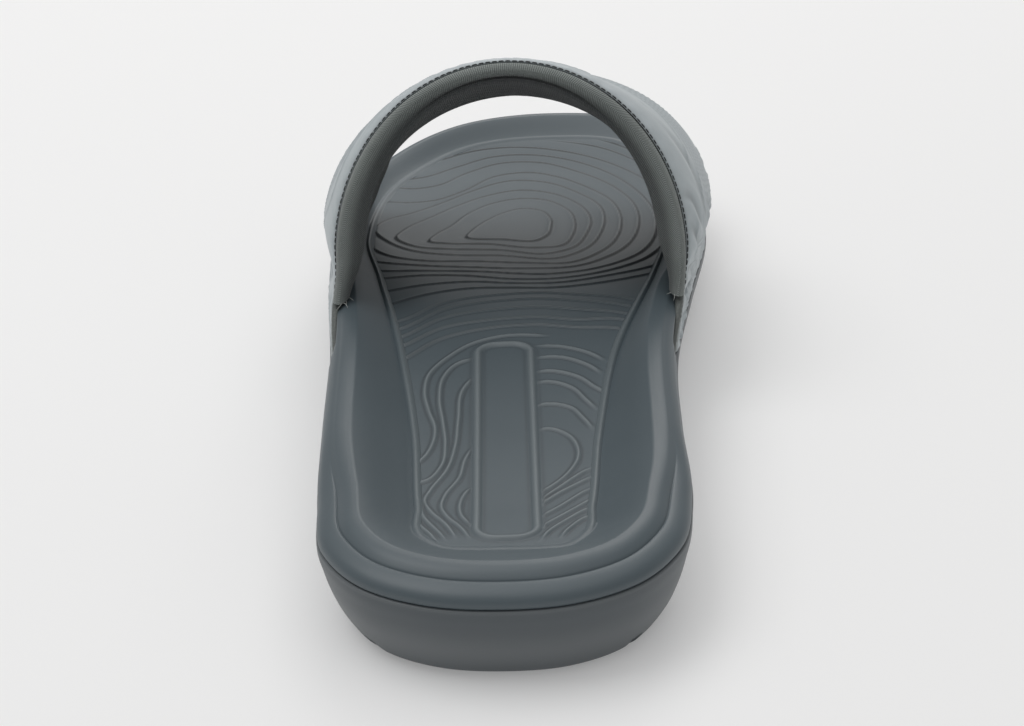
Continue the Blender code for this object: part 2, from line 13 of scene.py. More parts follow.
import bmesh
import bpy
import numpy as np
from mathutils import Euler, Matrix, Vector


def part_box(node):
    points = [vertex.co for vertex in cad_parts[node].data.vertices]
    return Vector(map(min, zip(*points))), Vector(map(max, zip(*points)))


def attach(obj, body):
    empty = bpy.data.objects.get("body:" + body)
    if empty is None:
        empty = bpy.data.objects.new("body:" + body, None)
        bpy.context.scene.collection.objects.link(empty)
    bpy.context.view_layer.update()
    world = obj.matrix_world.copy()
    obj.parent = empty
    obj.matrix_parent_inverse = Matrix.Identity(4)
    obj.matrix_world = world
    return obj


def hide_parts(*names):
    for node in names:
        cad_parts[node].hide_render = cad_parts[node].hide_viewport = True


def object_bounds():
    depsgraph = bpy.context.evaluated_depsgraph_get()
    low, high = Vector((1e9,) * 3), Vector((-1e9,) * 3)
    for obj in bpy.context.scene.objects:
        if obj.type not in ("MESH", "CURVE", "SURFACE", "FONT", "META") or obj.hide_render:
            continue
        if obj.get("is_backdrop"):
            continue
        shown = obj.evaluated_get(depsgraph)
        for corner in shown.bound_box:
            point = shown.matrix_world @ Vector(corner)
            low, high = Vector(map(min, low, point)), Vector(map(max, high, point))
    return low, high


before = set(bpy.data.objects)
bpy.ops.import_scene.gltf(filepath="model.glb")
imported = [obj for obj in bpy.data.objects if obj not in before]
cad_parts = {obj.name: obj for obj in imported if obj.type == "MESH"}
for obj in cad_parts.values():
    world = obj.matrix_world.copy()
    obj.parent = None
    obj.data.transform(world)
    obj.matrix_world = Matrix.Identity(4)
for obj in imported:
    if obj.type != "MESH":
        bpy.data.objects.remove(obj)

cad_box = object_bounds()
print("solids:", ", ".join(sorted(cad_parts)))

# %% [markdown]
# ## Driving sizes
#
# The length comes from the frame, so that the dressed sole always fits its solid.
# The other driving sizes are those of the shoe itself.  Everything later is a
# share of these, or a small size with its own name.

# %% Driving sizes
MM = 0.001
sole_low, sole_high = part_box("outsole")
SOLE_LENGTH = round((sole_high[1] - sole_low[1]) / MM, 2)
BALL_WIDTH = 108.0       # widest, across the ball of the foot
HALF_BALL = BALL_WIDTH / 2
RIM_HEIGHT = 27.0        # floor to the crest of the heel cup
STRAP_HEIGHT = 87.3      # floor to the crown of the strap's rear edge
GAP = 0.3                # between pieces that meet
print("sole length", SOLE_LENGTH, "mm")

# %% [markdown]
# ## Curves through a few rows
#
# A shoemaker's last is drawn from a few stations.  A spline object could carry
# them, but here two small functions do: one for a height that depends on the place
# along the sole, and one for an outline in the plan.  Both pass through their rows
# and neither bulges between uneven ones.  A smooth step, a bell curve and the
# length along a line complete the tools.

# %% Curve helpers
def cubic(t, size, start, end, start_slope, end_slope):
    """Cubic over a stretch of the given size that takes both ends and both slopes."""
    first = (1 + 2 * t) * (1 - t) ** 2 * start + t * (1 - t) ** 2 * size * start_slope
    return first + t * t * (3 - 2 * t) * end + t * t * (t - 1) * size * end_slope


def smooth_table(x, xs, ys):
    """Monotone cubic through table rows.

    The slope at a row is the harmonic mean of the two chord slopes, or zero where
    they differ in sign, so the curve never overshoots a row.
    """
    xs = np.asarray(xs, float)
    ys = np.asarray(ys, float)
    step = np.diff(xs)
    rise = np.diff(ys) / step
    same = rise[:-1] * rise[1:] > 0
    total = np.where(same, rise[:-1] + rise[1:], 1)
    slope = np.concatenate([rise[:1], np.where(same, 2 * rise[:-1] * rise[1:] / total, 0), rise[-1:]])
    x = np.clip(np.asarray(x, float), xs[0], xs[-1])
    i = np.clip(np.searchsorted(xs, x, side="right") - 1, 0, len(xs) - 2)
    return cubic((x - xs[i]) / step[i], step[i], ys[i], ys[i + 1], slope[i], slope[i + 1])


def smooth_curve(points, steps, closed=False):
    """Curve through the points, with `steps` facets between two of them.

    Each stretch is the cubic that takes both end points and both directions.  A
    point's direction is the mean of its two chords, each weighed by the other's
    length, so that it leans toward the nearer neighbour.
    """
    p = np.asarray(points, float)
    chord = np.roll(p, -1, axis=0) - p
    span = np.linalg.norm(chord, axis=1)[:, None]
    rate = chord / span
    before = np.roll(span, 1, axis=0)
    direction = (rate * before + np.roll(rate, 1, axis=0) * span) / (span + before)
    if not closed:
        direction[0] = rate[0]
        direction[-1] = rate[-2]
    stretches = len(p) if closed else len(p) - 1
    place = np.arange(stretches * steps + (not closed)) / steps
    i = np.minimum(place.astype(int), stretches - 1)
    j = (i + 1) % len(p)
    return cubic((place - i)[:, None], span[i], p[i], p[j], direction[i], direction[j])


def ease(t):
    """Smooth step: 0 up to t = 0, 1 from t = 1, and 3t² - 2t³ between them."""
    t = np.clip(t, 0, 1)
    return t * t * (3 - 2 * t)


def bell(x, width):
    """Bell curve: exp(-(x / width)²)."""
    return np.exp(-(x / width) ** 2)


def running_length(points, axis=0):
    """Length from the start of a line, or of each line of a grid, to its points."""
    total = np.cumsum(np.linalg.norm(np.diff(points, axis=axis), axis=-1), axis=axis)
    return np.concatenate([np.zeros_like(np.take(total, [0], axis=axis)), total], axis=axis)


def along_line(at, lengths, line):
    """Points at the places `at` of a line whose own points lie at `lengths`."""
    return np.stack([np.interp(at, lengths, column) for column in line.T], axis=-1)


print("half way up a smooth step:", float(ease(0.5)))

# %% [markdown]
# ## The plan and the levels of the sole
#
# Two tables hold the whole last.  The plan gives the outline and the bead that
# borders the sunk footbed panel, and the levels give the heights of the named
# lines along the sole.  Lengths are shares of the driving sizes.

# %% Plan and levels
#   name            outline across, along   bed across, along
PLAN = (
    ("heel_back",      0.010, 0.000,   0.020, 0.0845),
    ("heel_curve_l",  -0.290, 0.0075, -0.110, 0.0845),
    ("heel_corner_l", -0.563, 0.036,  -0.235, 0.088),
    ("heel_turn_l",   -0.737, 0.085,  -0.330, 0.105),
    ("heel_side_l",   -0.797, 0.160,  -0.368, 0.160),
    ("seat_l",        -0.839, 0.275,  -0.425, 0.282),
    ("waist_l",       -0.885, 0.430,  -0.540, 0.430),
    ("ball_l",        -0.972, 0.581,  -0.705, 0.592),
    ("little_toe_l",  -1.015, 0.732,  -0.820, 0.725),
    ("toe_corner_l",  -0.880, 0.882,  -0.710, 0.857),
    ("toe_l",         -0.425, 0.976,  -0.340, 0.938),
    ("toe_tip",        0.148, 1.000,   0.148, 0.955),
    ("toe_m",          0.611, 0.983,   0.520, 0.941),
    ("big_toe_m",      0.917, 0.898,   0.730, 0.874),
    ("ball_m",         0.985, 0.746,   0.770, 0.737),
    ("forewaist_m",    0.880, 0.581,   0.667, 0.581),
    ("waist_m",        0.774, 0.4155,  0.472, 0.4155),
    ("seat_m",         0.772, 0.268,   0.395, 0.275),
    ("heel_side_m",    0.788, 0.160,   0.365, 0.160),
    ("heel_turn_m",    0.730, 0.085,   0.335, 0.105),
    ("heel_corner_m",  0.565, 0.036,   0.265, 0.088),
    ("heel_curve_m",   0.305, 0.0075,  0.145, 0.0845),
)
#   along, underside, parting, rim, bed, dish of the panel's edges
LEVELS = (
    (0.00, 0.000, 0.745, 0.990, 0.815, 0.02),
    (0.09, 0.000, 0.745, 0.995, 0.800, 0.02),
    (0.17, 0.000, 0.750, 1.005, 0.735, 0.02),
    (0.30, 0.020, 0.765, 1.045, 0.755, 0.02),
    (0.42, 0.060, 0.775, 1.090, 0.845, 0.02),
    (0.52, 0.045, 0.760, 1.075, 0.880, 0.02),
    (0.62, 0.000, 0.705, 1.005, 0.800, 0.02),
    (0.72, 0.000, 0.655, 0.940, 0.700, 0.05),
    (0.80, 0.020, 0.650, 0.930, 0.705, 0.10),
    (0.88, 0.110, 0.695, 0.965, 0.790, 0.12),
    (0.95, 0.240, 0.790, 1.060, 0.935, 0.08),
    (1.00, 0.350, 0.875, 1.145, 1.060, 0.04),
)
LEVEL_NAMES = ("along", "underside", "parting", "rim", "bed", "dish")
STEPS_PER_ROW = 16


def level(name, y):
    """Height in millimetres of a named level at a place y along the sole."""
    rows = np.array(LEVELS)
    heights = rows[:, LEVEL_NAMES.index(name)]
    return RIM_HEIGHT * smooth_table(np.asarray(y) / SOLE_LENGTH, rows[:, 0], heights)


def plan_loop(column, steps):
    """Closed loop through one pair of columns of the plan, in millimetres."""
    rows = [(row[column] * HALF_BALL, row[column + 1] * SOLE_LENGTH) for row in PLAN]
    return smooth_curve(rows, steps, closed=True)


def inward(loop):
    """Unit vectors in the plan that point into the loop, one for each point."""
    along = np.roll(loop, -1, axis=0) - np.roll(loop, 1, axis=0)
    along /= np.linalg.norm(along, axis=1)[:, None]
    return np.column_stack([along[:, 1], -along[:, 0]])


def ring_at(plan, height):
    """Ring of points: a plan loop with one height for each point."""
    return np.column_stack([plan, np.broadcast_to(height, len(plan))])


OUTLINE = plan_loop(1, STEPS_PER_ROW)
OUTLINE_IN = inward(OUTLINE)
BED_EDGE = plan_loop(3, STEPS_PER_ROW)
BED_IN = inward(BED_EDGE)
print("outline points:", len(OUTLINE))

# %% [markdown]
# ## From rings of points to a mesh
#
# A moulded sole is a stack of rings: the same outline again and again, moved in
# and up.  Neighbouring rings are joined by quads, and the first and last ring are
# closed by rungs that run straight across, heel to toe.  Such a mesh follows the
# outline closely and has no centre point where faces would crowd.

# %% Mesh helpers
def quads_of(index):
    """Quads between the neighbours in a grid of point indices."""
    corners = (index[:-1, :-1], index[:-1, 1:], index[1:, 1:], index[1:, :-1])
    return np.stack(corners, axis=-1).reshape(-1, 4)


def grid_quads(rows, columns, closed):
    """Quads of a whole grid of points, closed round or open."""
    index = np.arange(rows * columns).reshape(rows, columns)
    return quads_of(np.column_stack([index, index[:, 0]]) if closed else index)


def rungs(ring, first, fresh, height, steps):
    """Cap of a ring: rung k joins point k to the k-th point from the other end.

    A point at share t of a rung is left + (right - left) t in the plan, and its
    height comes from the height function.  `first` is the index of the ring's
    first point and `fresh` the index that the cap's own points start from.
    """
    half = len(ring) // 2
    left = ring[1:half, :2]
    right = ring[:half:-1, :2]
    t = (np.arange(1, steps) / steps)[None, :, None]
    plan = left[:, None] + (right - left)[:, None] * t
    points = np.dstack([plan, height(plan[..., 0], plan[..., 1])]).reshape(-1, 3)
    index = np.empty((half - 1, steps + 1), int)
    index[:, 0] = first + np.arange(1, half)
    index[:, -1] = first + np.arange(len(ring) - 1, half, -1)
    index[:, 1:-1] = fresh + np.arange(len(points)).reshape(half - 1, steps - 1)
    quads = quads_of(index).tolist()
    heel = [[first, b, a] for a, b in zip(index[0, :-1], index[0, 1:])]
    toe = [[first + half, a, b] for a, b in zip(index[-1, :-1], index[-1, 1:])]
    return points, quads + heel + toe


def stacked_solid(rings, low_height, high_height, low_steps, high_steps):
    """Points and faces of a closed stack of rings with both caps."""
    columns = len(rings[0])
    points = np.vstack(rings)
    faces = grid_quads(len(rings), columns, True).tolist()
    low, low_faces = rungs(rings[0], 0, len(points), low_height, low_steps)
    last = len(points) - columns
    high, high_faces = rungs(rings[-1], last, len(points) + len(low), high_height, high_steps)
    return np.vstack([points, low, high]), faces + [f[::-1] for f in low_faces] + high_faces


def new_object(name, data):
    """New object in the scene that carries the data."""
    made = bpy.data.objects.new(name, data)
    bpy.context.scene.collection.objects.link(made)
    return made


def make_piece(name, points, faces, sharp=None):
    """Mesh object from millimetre points, faces outward, shaded smooth.

    The points move from the heel's back to the frame's origin, half a sole ahead,
    and are scaled to metres.  `sharp` is the angle in degrees past which an edge
    stays hard.
    """
    mesh = bpy.data.meshes.new(name)
    placed = (np.asarray(points) - np.array([0, SOLE_LENGTH / 2, 0])) * MM
    mesh.from_pydata(placed.tolist(), [], faces if isinstance(faces, list) else faces.tolist())
    work = bmesh.new()
    work.from_mesh(mesh)
    bmesh.ops.recalc_face_normals(work, faces=work.faces)
    work.to_mesh(mesh)
    work.free()
    mesh.shade_smooth()
    if sharp is not None:
        mesh.set_sharp_from_angle(angle=math.radians(sharp))
    piece = new_object(name, mesh)
    print(name, "has", len(mesh.vertices), "points and", len(mesh.polygons), "faces")
    return piece


def add_values(piece, name, values):
    """Keep one number for each point of the mesh, for its material to read."""
    kept = piece.data.attributes.new(name, "FLOAT", "POINT")
    kept.data.foreach_set("value", np.asarray(values, np.float32).ravel())


def belongs(piece, replaced=None):
    """The piece rides on the shoe, and may stand for a solid, which is then hidden."""
    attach(piece, "root")
    if replaced:
        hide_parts(replaced)


print("helpers ready")

# %% [markdown]
# ## The outsole's wall
#
# The lower half of the sole is a tray of firm foam.  Its wall bulges: it tucks in
# toward the floor and rolls over into a small lip where the footbed starts.  That
# lip catches the light as a thin bright line.  Subdividing a coarse wall would
# round the lip away, so the wall's profile is a curve of its own, carried round
# the outline.

# %% Outsole wall
SIDE_TUCK = 10.5         # outline to the flat underside
TRAY_INSET = 13.0        # outline to the flat floor of the tray
BED_THICKNESS = 8.0      # footbed under the sunk panel
WALL_STEPS = 5
#   inset as a share of the tuck, height as a share of the way to the parting line
WALL_PROFILE = (
    (1.000, 0.00),
    (0.820, 0.00),
    (0.657, 0.045),
    (0.438, 0.20),
    (0.219, 0.46),
    (0.067, 0.75),
    (0.000, 0.94),
    (0.012, 0.985),
    (0.086, 1.00),
)
#   inset as a share of the tray's inset, drop as a share of the tray's depth
TRAY_PROFILE = (
    (0.308, 0.00),
    (0.500, 0.55),
    (0.731, 0.93),
    (1.000, 1.00),
)


def underside(x, y):
    """Height of the tread: flat on the floor, or the arch and the toe spring."""
    return np.maximum(level("underside", y), 0)


def tray_floor(x, y):
    """Height of the floor of the tray that the footbed lies in."""
    return level("bed", y) - BED_THICKNESS


def tray_rings(extra):
    """Rings of the seat between the sole's two parts, from the edge in."""
    rings = []
    for inset, drop in TRAY_PROFILE:
        plan = OUTLINE + OUTLINE_IN * (inset * TRAY_INSET + extra)
        top = level("parting", plan[:, 1])
        rings.append(ring_at(plan, top + (tray_floor(0, plan[:, 1]) - top) * drop + extra))
    return rings


def wall_rings():
    """Rings of the wall: inset along the inward normals, height by share."""
    scale = np.array([SIDE_TUCK, level("parting", 0.0)])
    profile = smooth_curve(np.array(WALL_PROFILE) * scale, WALL_STEPS) / scale
    rings = []
    for inset, share in profile:
        plan = OUTLINE + OUTLINE_IN * inset * SIDE_TUCK
        low = underside(0, plan[:, 1])
        rings.append(ring_at(plan, low + (level("parting", plan[:, 1]) - low) * max(share, 0)))
    return rings


outsole_rings = wall_rings() + tray_rings(0.0)
outsole_solid = stacked_solid(outsole_rings, underside, tray_floor, 24, 4)
outsole = make_piece("outsole_skin", *outsole_solid, sharp=50)

# %% [markdown]
# ## Wavy grooves in the tread
#
# The tread is cut by shallow grooves that follow a gentle wave, four under the
# heel and seven under the ball.  On the real sole the mould's ribs leave them.
# They are cut with a Boolean, because a groove has crisp lips that a displaced
# grid would blur, and the cut is kept as plain mesh.

# %% Tread grooves
GROOVE_WIDTH = 3.2
GROOVE_DEPTH = 2.4
GROOVE_END_DEPTH = 3.8   # where the grooves run out at the sides
CUTTER_BELOW = 4.0
GROOVE_PITCH = 17.0
GROOVE_WAVE = 2.2
GROOVE_STARTS = ((0.058, 4), (0.560, 7))    # share of the length, and how many
CUTTER_REACH, CUTTER_STEPS = 1.25, 61       # across, in halves of the ball's width
RUN_OUT_FROM, RUN_OUT_OVER = 0.35, 0.20     # and where the grooves grow deeper


def groove_cutter():
    """Prisms swept across the sole; a groove's middle is start + wave sin(2πx/b)."""
    across = np.linspace(-CUTTER_REACH, CUTTER_REACH, CUTTER_STEPS) * HALF_BALL
    starts = np.concatenate([first * SOLE_LENGTH + GROOVE_PITCH * np.arange(many)
                             for first, many in GROOVE_STARTS])
    y = starts[:, None] + GROOVE_WAVE * np.sin(2 * math.pi * across / HALF_BALL)
    run_out = np.clip((np.abs(across) / HALF_BALL - RUN_OUT_FROM) / RUN_OUT_OVER, 0, 1)
    top = underside(0, y) + GROOVE_DEPTH + (GROOVE_END_DEPTH - GROOVE_DEPTH) * run_out
    side = GROOVE_WIDTH / 2
    low = np.full_like(y, -CUTTER_BELOW)
    corners = [(y - side, low), (y + side, low), (y + side, top), (y - side, top)]
    x = np.broadcast_to(across, y.shape)
    points = np.stack([np.dstack([x, cy, cz]) for cy, cz in corners], axis=2).reshape(-1, 3)
    strip = grid_quads(len(across), 4, True)
    ends = np.array([[3, 2, 1, 0], [0, 1, 2, 3]]) + np.array([[0], [4 * (len(across) - 1)]])
    block = np.vstack([strip, ends])
    shift = 4 * len(across) * np.arange(len(starts))
    return make_piece("groove_cutter", points, (block[None] + shift[:, None, None]).reshape(-1, 4))


def cut(piece, cutter):
    """Take the cutter out of the piece for good, and remove the cutter."""
    step = piece.modifiers.new("cut", "BOOLEAN")
    step.operation = "DIFFERENCE"
    step.solver = "EXACT"
    step.object = cutter
    bpy.context.view_layer.update()
    seen = piece.evaluated_get(bpy.context.evaluated_depsgraph_get())
    whole = bpy.data.meshes.new_from_object(seen)
    piece.modifiers.clear()
    piece.data = whole
    bpy.data.objects.remove(cutter, do_unlink=True)
    print(piece.name, "is cut and has", len(whole.polygons), "faces")


cut(outsole, groove_cutter())
belongs(outsole, "outsole")

# %% [markdown]
# ## Painted light on the wall
#
# The bulge of the wall and the lip above it are painted a little paler: painted
# bounce light from the floor on the bulge, and a painted highlight on the lip.
# That could be painted by hand; here it follows from a point's height, and is kept
# on the mesh as one number, which the material reads further on.

# %% Painted light on the wall
# the bulge's painted bounce light and the lip's painted highlight
BELLY_HEIGHT, BELLY_SPREAD, BELLY_LIGHT_SHARE = 8.0, 5.0, 0.8    # the bulge, over the floor
LIP_DROP, LIP_SPREAD, LIP_HIGHLIGHT_SHARE = 0.3, 0.5, 0.6            # the lip, under the parting line
wall = np.array([v.co for v in outsole.data.vertices]) / MM
parting = level("parting", wall[:, 1] + SOLE_LENGTH / 2)
painted_light = (BELLY_LIGHT_SHARE * bell(wall[:, 2] - BELLY_HEIGHT, BELLY_SPREAD)
        + LIP_HIGHLIGHT_SHARE * bell(parting - wall[:, 2] - LIP_DROP, LIP_SPREAD))
add_values(outsole, "painted_wall_light", painted_light)
print("the wall's paler share goes up to", round(float(painted_light.max()), 2))

# %% [markdown]
# ## Where the strap runs
#
# The strap's feet are tucked between the sole's two parts, so the footbed makes
# room for them.  Three sections of the arch and one table of its edges say where
# the shell runs.  They are shares of half the ball width, of the strap's height
# and of the sole's length, and the strap itself is made from them further on.

# %% Strap sections
SHELL_WALL = 1.4
SEAT_CLEARANCE = 0.25    # footbed's side to the shell that runs down over it
#   edge share, half width, centre across, spring height, rise to the crown
STRAP_SECTIONS = (
    (0.0, 0.839, -0.018, 0.458, 0.542),
    (0.5, 0.905, -0.009, 0.384, 0.470),
    (1.0, 0.866, 0.000, 0.372, 0.366),
)
#   height, rear edge, front edge
STRAP_EDGES = (
    (0.200, 0.412, 0.786),
    (0.235, 0.424, 0.784),
    (0.330, 0.493, 0.780),
    (0.452, 0.506, 0.775),
    (0.589, 0.519, 0.768),
    (0.749, 0.535, 0.758),
    (0.896, 0.550, 0.748),
    (1.000, 0.560, 0.742),
)


def outline_x(side, y):
    """Across place of the outline on one side: -1 lateral, +1 medial."""
    half = len(OUTLINE) // 2
    edge = OUTLINE[:half + 1] if side < 0 else np.vstack([OUTLINE[:1], OUTLINE[:half - 1:-1]])
    order = np.argsort(edge[:, 1])
    return np.interp(y, edge[order, 1], edge[order, 0])


def strap_section(v):
    """Half width, centre, spring height and rise in millimetres at edge share v."""
    rows = np.array(STRAP_SECTIONS)
    scales = (HALF_BALL, HALF_BALL, STRAP_HEIGHT, STRAP_HEIGHT)
    return [scale * smooth_table(v, rows[:, 0], rows[:, k + 1]) for k, scale in enumerate(scales)]


def strap_along(z, v):
    """Place along the sole at height z and edge share v, between the two edges."""
    rows = np.array(STRAP_EDGES)
    rear = smooth_table(z / STRAP_HEIGHT, rows[:, 0], rows[:, 1])
    front = smooth_table(z / STRAP_HEIGHT, rows[:, 0], rows[:, 2])
    return SOLE_LENGTH * (rear + (front - rear) * v)


def behind_shell(side, y, z):
    """Inset from the outline to the shell's inner face.

    The leg leans in by a smooth step of its height.
    """
    rear, front = strap_along(z, 0.0), strap_along(z, 1.0)
    half, centre, spring = strap_section(np.clip((y - rear) / (front - rear), 0, 1))[:3]
    edge = np.abs(outline_x(side, y))
    low = edge - SHELL_WALL / 2 - GAP
    seat = level("parting", y)
    lean = (half + side * centre - low) * ease((z - seat) / (spring - seat))
    return edge - low - lean + SHELL_WALL / 2


print("strap's rear corner at", round(float(strap_along(21.0, 0.0)), 1), "mm")

# %% [markdown]
# ## The footbed's rim, wings and bead
#
# The footbed lies in the tray.  Its side sweeps up in one round curve from the
# parting line over the rim, and only round the heel is a crease pinched into it.
# Inside lie a wide dished wing and a raised bead.  A sculpted block could show
# these forms, but they run the whole way round, so they are again one profile on
# rings, with a heel form and a side form that flow into each other.

# %% Footbed rings
RIM_INSET = 9.8          # outline to where the dished wing starts
RIM_ROOM = 0.85          # most of the way to the bead that the rim may take,
TOE_ROOM = 0.50          # and less of it round the toes, where the wing is narrow
PANEL_SINK = 1.7         # panel below the inner foot of the wings
WING_STEP = 0.15         # wing over the panel where no bead stands
BEAD_WIDTH = 2.2
BEAD_HEIGHT = 0.5
BEAD_POWER = 1.1         # of the half sine: over 1 it draws the ridge in
VALLEY_DEPTH = 0.2       # fold along the bead's outer foot,
VALLEY_SHARE = 0.12      # and the share of the wing that it takes
WING_STEPS = 26
BEAD_STEPS = 10
EDGE_STEPS = 5
EDGE_RISE = 6.3          # parting line to rim, about, where the profile is smoothed
PARTING_GAP = 0.12       # what shows of the joint between the two foams
SKIRT = 1.4              # the bead's inner foot goes on down behind the panel
#   heel inset, height, side inset, height: shares of the rim's inset and height
FOOTBED_EDGE = (
    (0.065, 0.000, 0.065, 0.000),
    (0.040, 0.040, 0.040, 0.040),
    (0.030, 0.230, 0.022, 0.250),
    (0.150, 0.480, 0.070, 0.500),
    (0.400, 0.655, 0.130, 0.650),
    (0.485, 0.668, 0.190, 0.735),
    (0.515, 0.643, 0.250, 0.800),
    (0.542, 0.700, 0.320, 0.855),
    (0.680, 0.870, 0.420, 0.940),
    (0.820, 0.960, 0.580, 0.985),
    (1.000, 1.000, 0.780, 1.000),
)


def bed_height(x, y):
    """Surface of the sunk panel: the bed level, a little dished across."""
    return level("bed", y) + level("dish", y) * (x / HALF_BALL) ** 2


def along_table(y, shares, values):
    """Value at a place along the sole, from a table of shares of the length."""
    return smooth_table(np.asarray(y) / SOLE_LENGTH, shares, values)


def bead_share(y):
    """How far the bead stands: gone behind the heel and under the toes."""
    return along_table(y, (0.0, 0.088, 0.14, 0.66, 0.80, 1.0), (0, 0, 1, 1, 0.15, 0))


def sink_depth(y):
    """How far the panel lies under the inner foot of the wings, in millimetres."""
    return PANEL_SINK * along_table(y, (0.0, 0.088, 0.20, 0.40, 0.50, 0.66, 0.80, 1.0),
                                    (0, 0, 0, 0.05, 0.2, 0.85, 0.15, 0))


def wing_step(y):
    """Step from the wing down to the panel where no bead stands; none at the toes."""
    return WING_STEP * along_table(y, (0.0, 0.70, 0.80, 1.0), (1, 1, 0.1, 0.1))


def edge_rings(bead_foot):
    """Rings of the footbed's side and rim, from the parting line to the wing.

    The crease runs round the heel and fades up the sides.  Where the shell runs
    down over the side, the side stays behind the shell's inner face.
    """
    scale = np.array([RIM_INSET, EDGE_RISE, RIM_INSET, EDGE_RISE])
    profile = smooth_curve(np.array(FOOTBED_EDGE) * scale, EDGE_STEPS) / scale
    y = OUTLINE[:, 1]
    room = along_table(y, (0.0, 0.50, 0.72, 1.0), (RIM_ROOM, RIM_ROOM, TOE_ROOM, TOE_ROOM))
    reach = np.minimum(RIM_INSET, room * np.linalg.norm(bead_foot - OUTLINE, axis=1))
    pinch = along_table(y, (0.0, 0.12, 0.27, 1.0), (1, 1, 0, 0))
    seat = along_table(y, (0.0, 0.385, 0.42, 0.805, 0.84, 1.0), (0, 0, 1, 1, 0, 0))
    low = level("parting", y) + PARTING_GAP
    rings = []
    for heel_inset, heel_height, side_inset, side_height in profile:
        inset = reach * (side_inset + (heel_inset - side_inset) * pinch)
        share = side_height + (heel_height - side_height) * pinch
        height = low + (level("rim", y) - low) * share
        lateral, medial = behind_shell(-1, y, height), behind_shell(1, y, height)
        shell_side = np.where(OUTLINE[:, 0] < 0, lateral, medial)
        inset = np.maximum(inset, seat * (shell_side + SEAT_CLEARANCE))
        plan = OUTLINE + OUTLINE_IN * inset[:, None]
        foot = level("parting", plan[:, 1]) + PARTING_GAP
        rings.append(ring_at(plan, foot + (level("rim", plan[:, 1]) - foot) * share))
    return rings


def wing_rings(start, edge, edge_in):
    """Rings of the wing and the bead, from the rim in to the panel.

    The wing falls as 0.75 t plus 0.25 of a smooth step of t, with a small valley
    before the bead.  Across the bead the height is the step down to the panel,
    plus a power of a half sine that makes the ridge.
    """
    outer = edge - edge_in * BEAD_WIDTH / 2
    along = outer[:, 1]
    stand = bead_share(along)
    foot = bed_height(outer[:, 0], along) + sink_depth(along) + wing_step(along)
    rings = []
    for t in np.arange(1, WING_STEPS + 1) / WING_STEPS:
        plan = start[:, :2] + (outer - start[:, :2]) * t
        fall = 0.75 * t + 0.25 * ease(t)
        valley = VALLEY_DEPTH * stand * bell(1 - t, VALLEY_SHARE)
        rings.append(ring_at(plan, start[:, 2] + (foot - start[:, 2]) * fall - valley))
    for t in np.arange(1, BEAD_STEPS + 1) / BEAD_STEPS:
        plan = outer + edge_in * BEAD_WIDTH * t
        bottom = bed_height(plan[:, 0], plan[:, 1])
        ridge = BEAD_HEIGHT * math.sin(math.pi * t) ** BEAD_POWER - VALLEY_DEPTH * max(1 - 4 * t, 0)
        rings.append(ring_at(plan, foot + (bottom - foot) * ease((t - 0.3) / 0.7) + ridge * stand))
    rings.append(rings[-1] - np.array([0, 0, SKIRT]))
    return rings


footbed_rings = list(reversed(tray_rings(GAP))) + edge_rings(BED_EDGE - BED_IN * BEAD_WIDTH / 2)
footbed_rings += wing_rings(footbed_rings[-1], BED_EDGE, BED_IN)
bead_from = len(footbed_rings) - BEAD_STEPS - 1
footbed_solid = stacked_solid(footbed_rings, lambda x, y: tray_floor(x, y) + GAP,
                              lambda x, y: bed_height(x, y) - SKIRT, 4, 4)
footbed = make_piece("footbed_skin", *footbed_solid, sharp=60)
# painted highlight on the bead: its ridge and back are painted paler, as if lit
painted_highlight = np.zeros(len(footbed.data.vertices))    # the bead's back is paler, as the material reads
for k in range(BEAD_STEPS):
    first = (bead_from + k) * len(OUTLINE)
    bead_highlight = bead_share(BED_EDGE[:, 1]) * ease(2.5 * (k + 1) / BEAD_STEPS)
    painted_highlight[first:first + len(OUTLINE)] = bead_highlight
add_values(footbed, "painted_highlight", painted_highlight)
belongs(footbed, "footbed")

# %% [markdown]
# ## Contour lines on the panel
#
# The panel is patterned like a hiking map.  Under the ball the lines are low
# terraces round a hill, and round the heel they are thin raised threads; the
# waist's lines are a little of both.
# A bump texture would do for the finest of them, but these lines show in the
# outline of the highlights, so they are real relief.  Each line is drawn by a few
# guide points, in millimetres, across and along the sole.

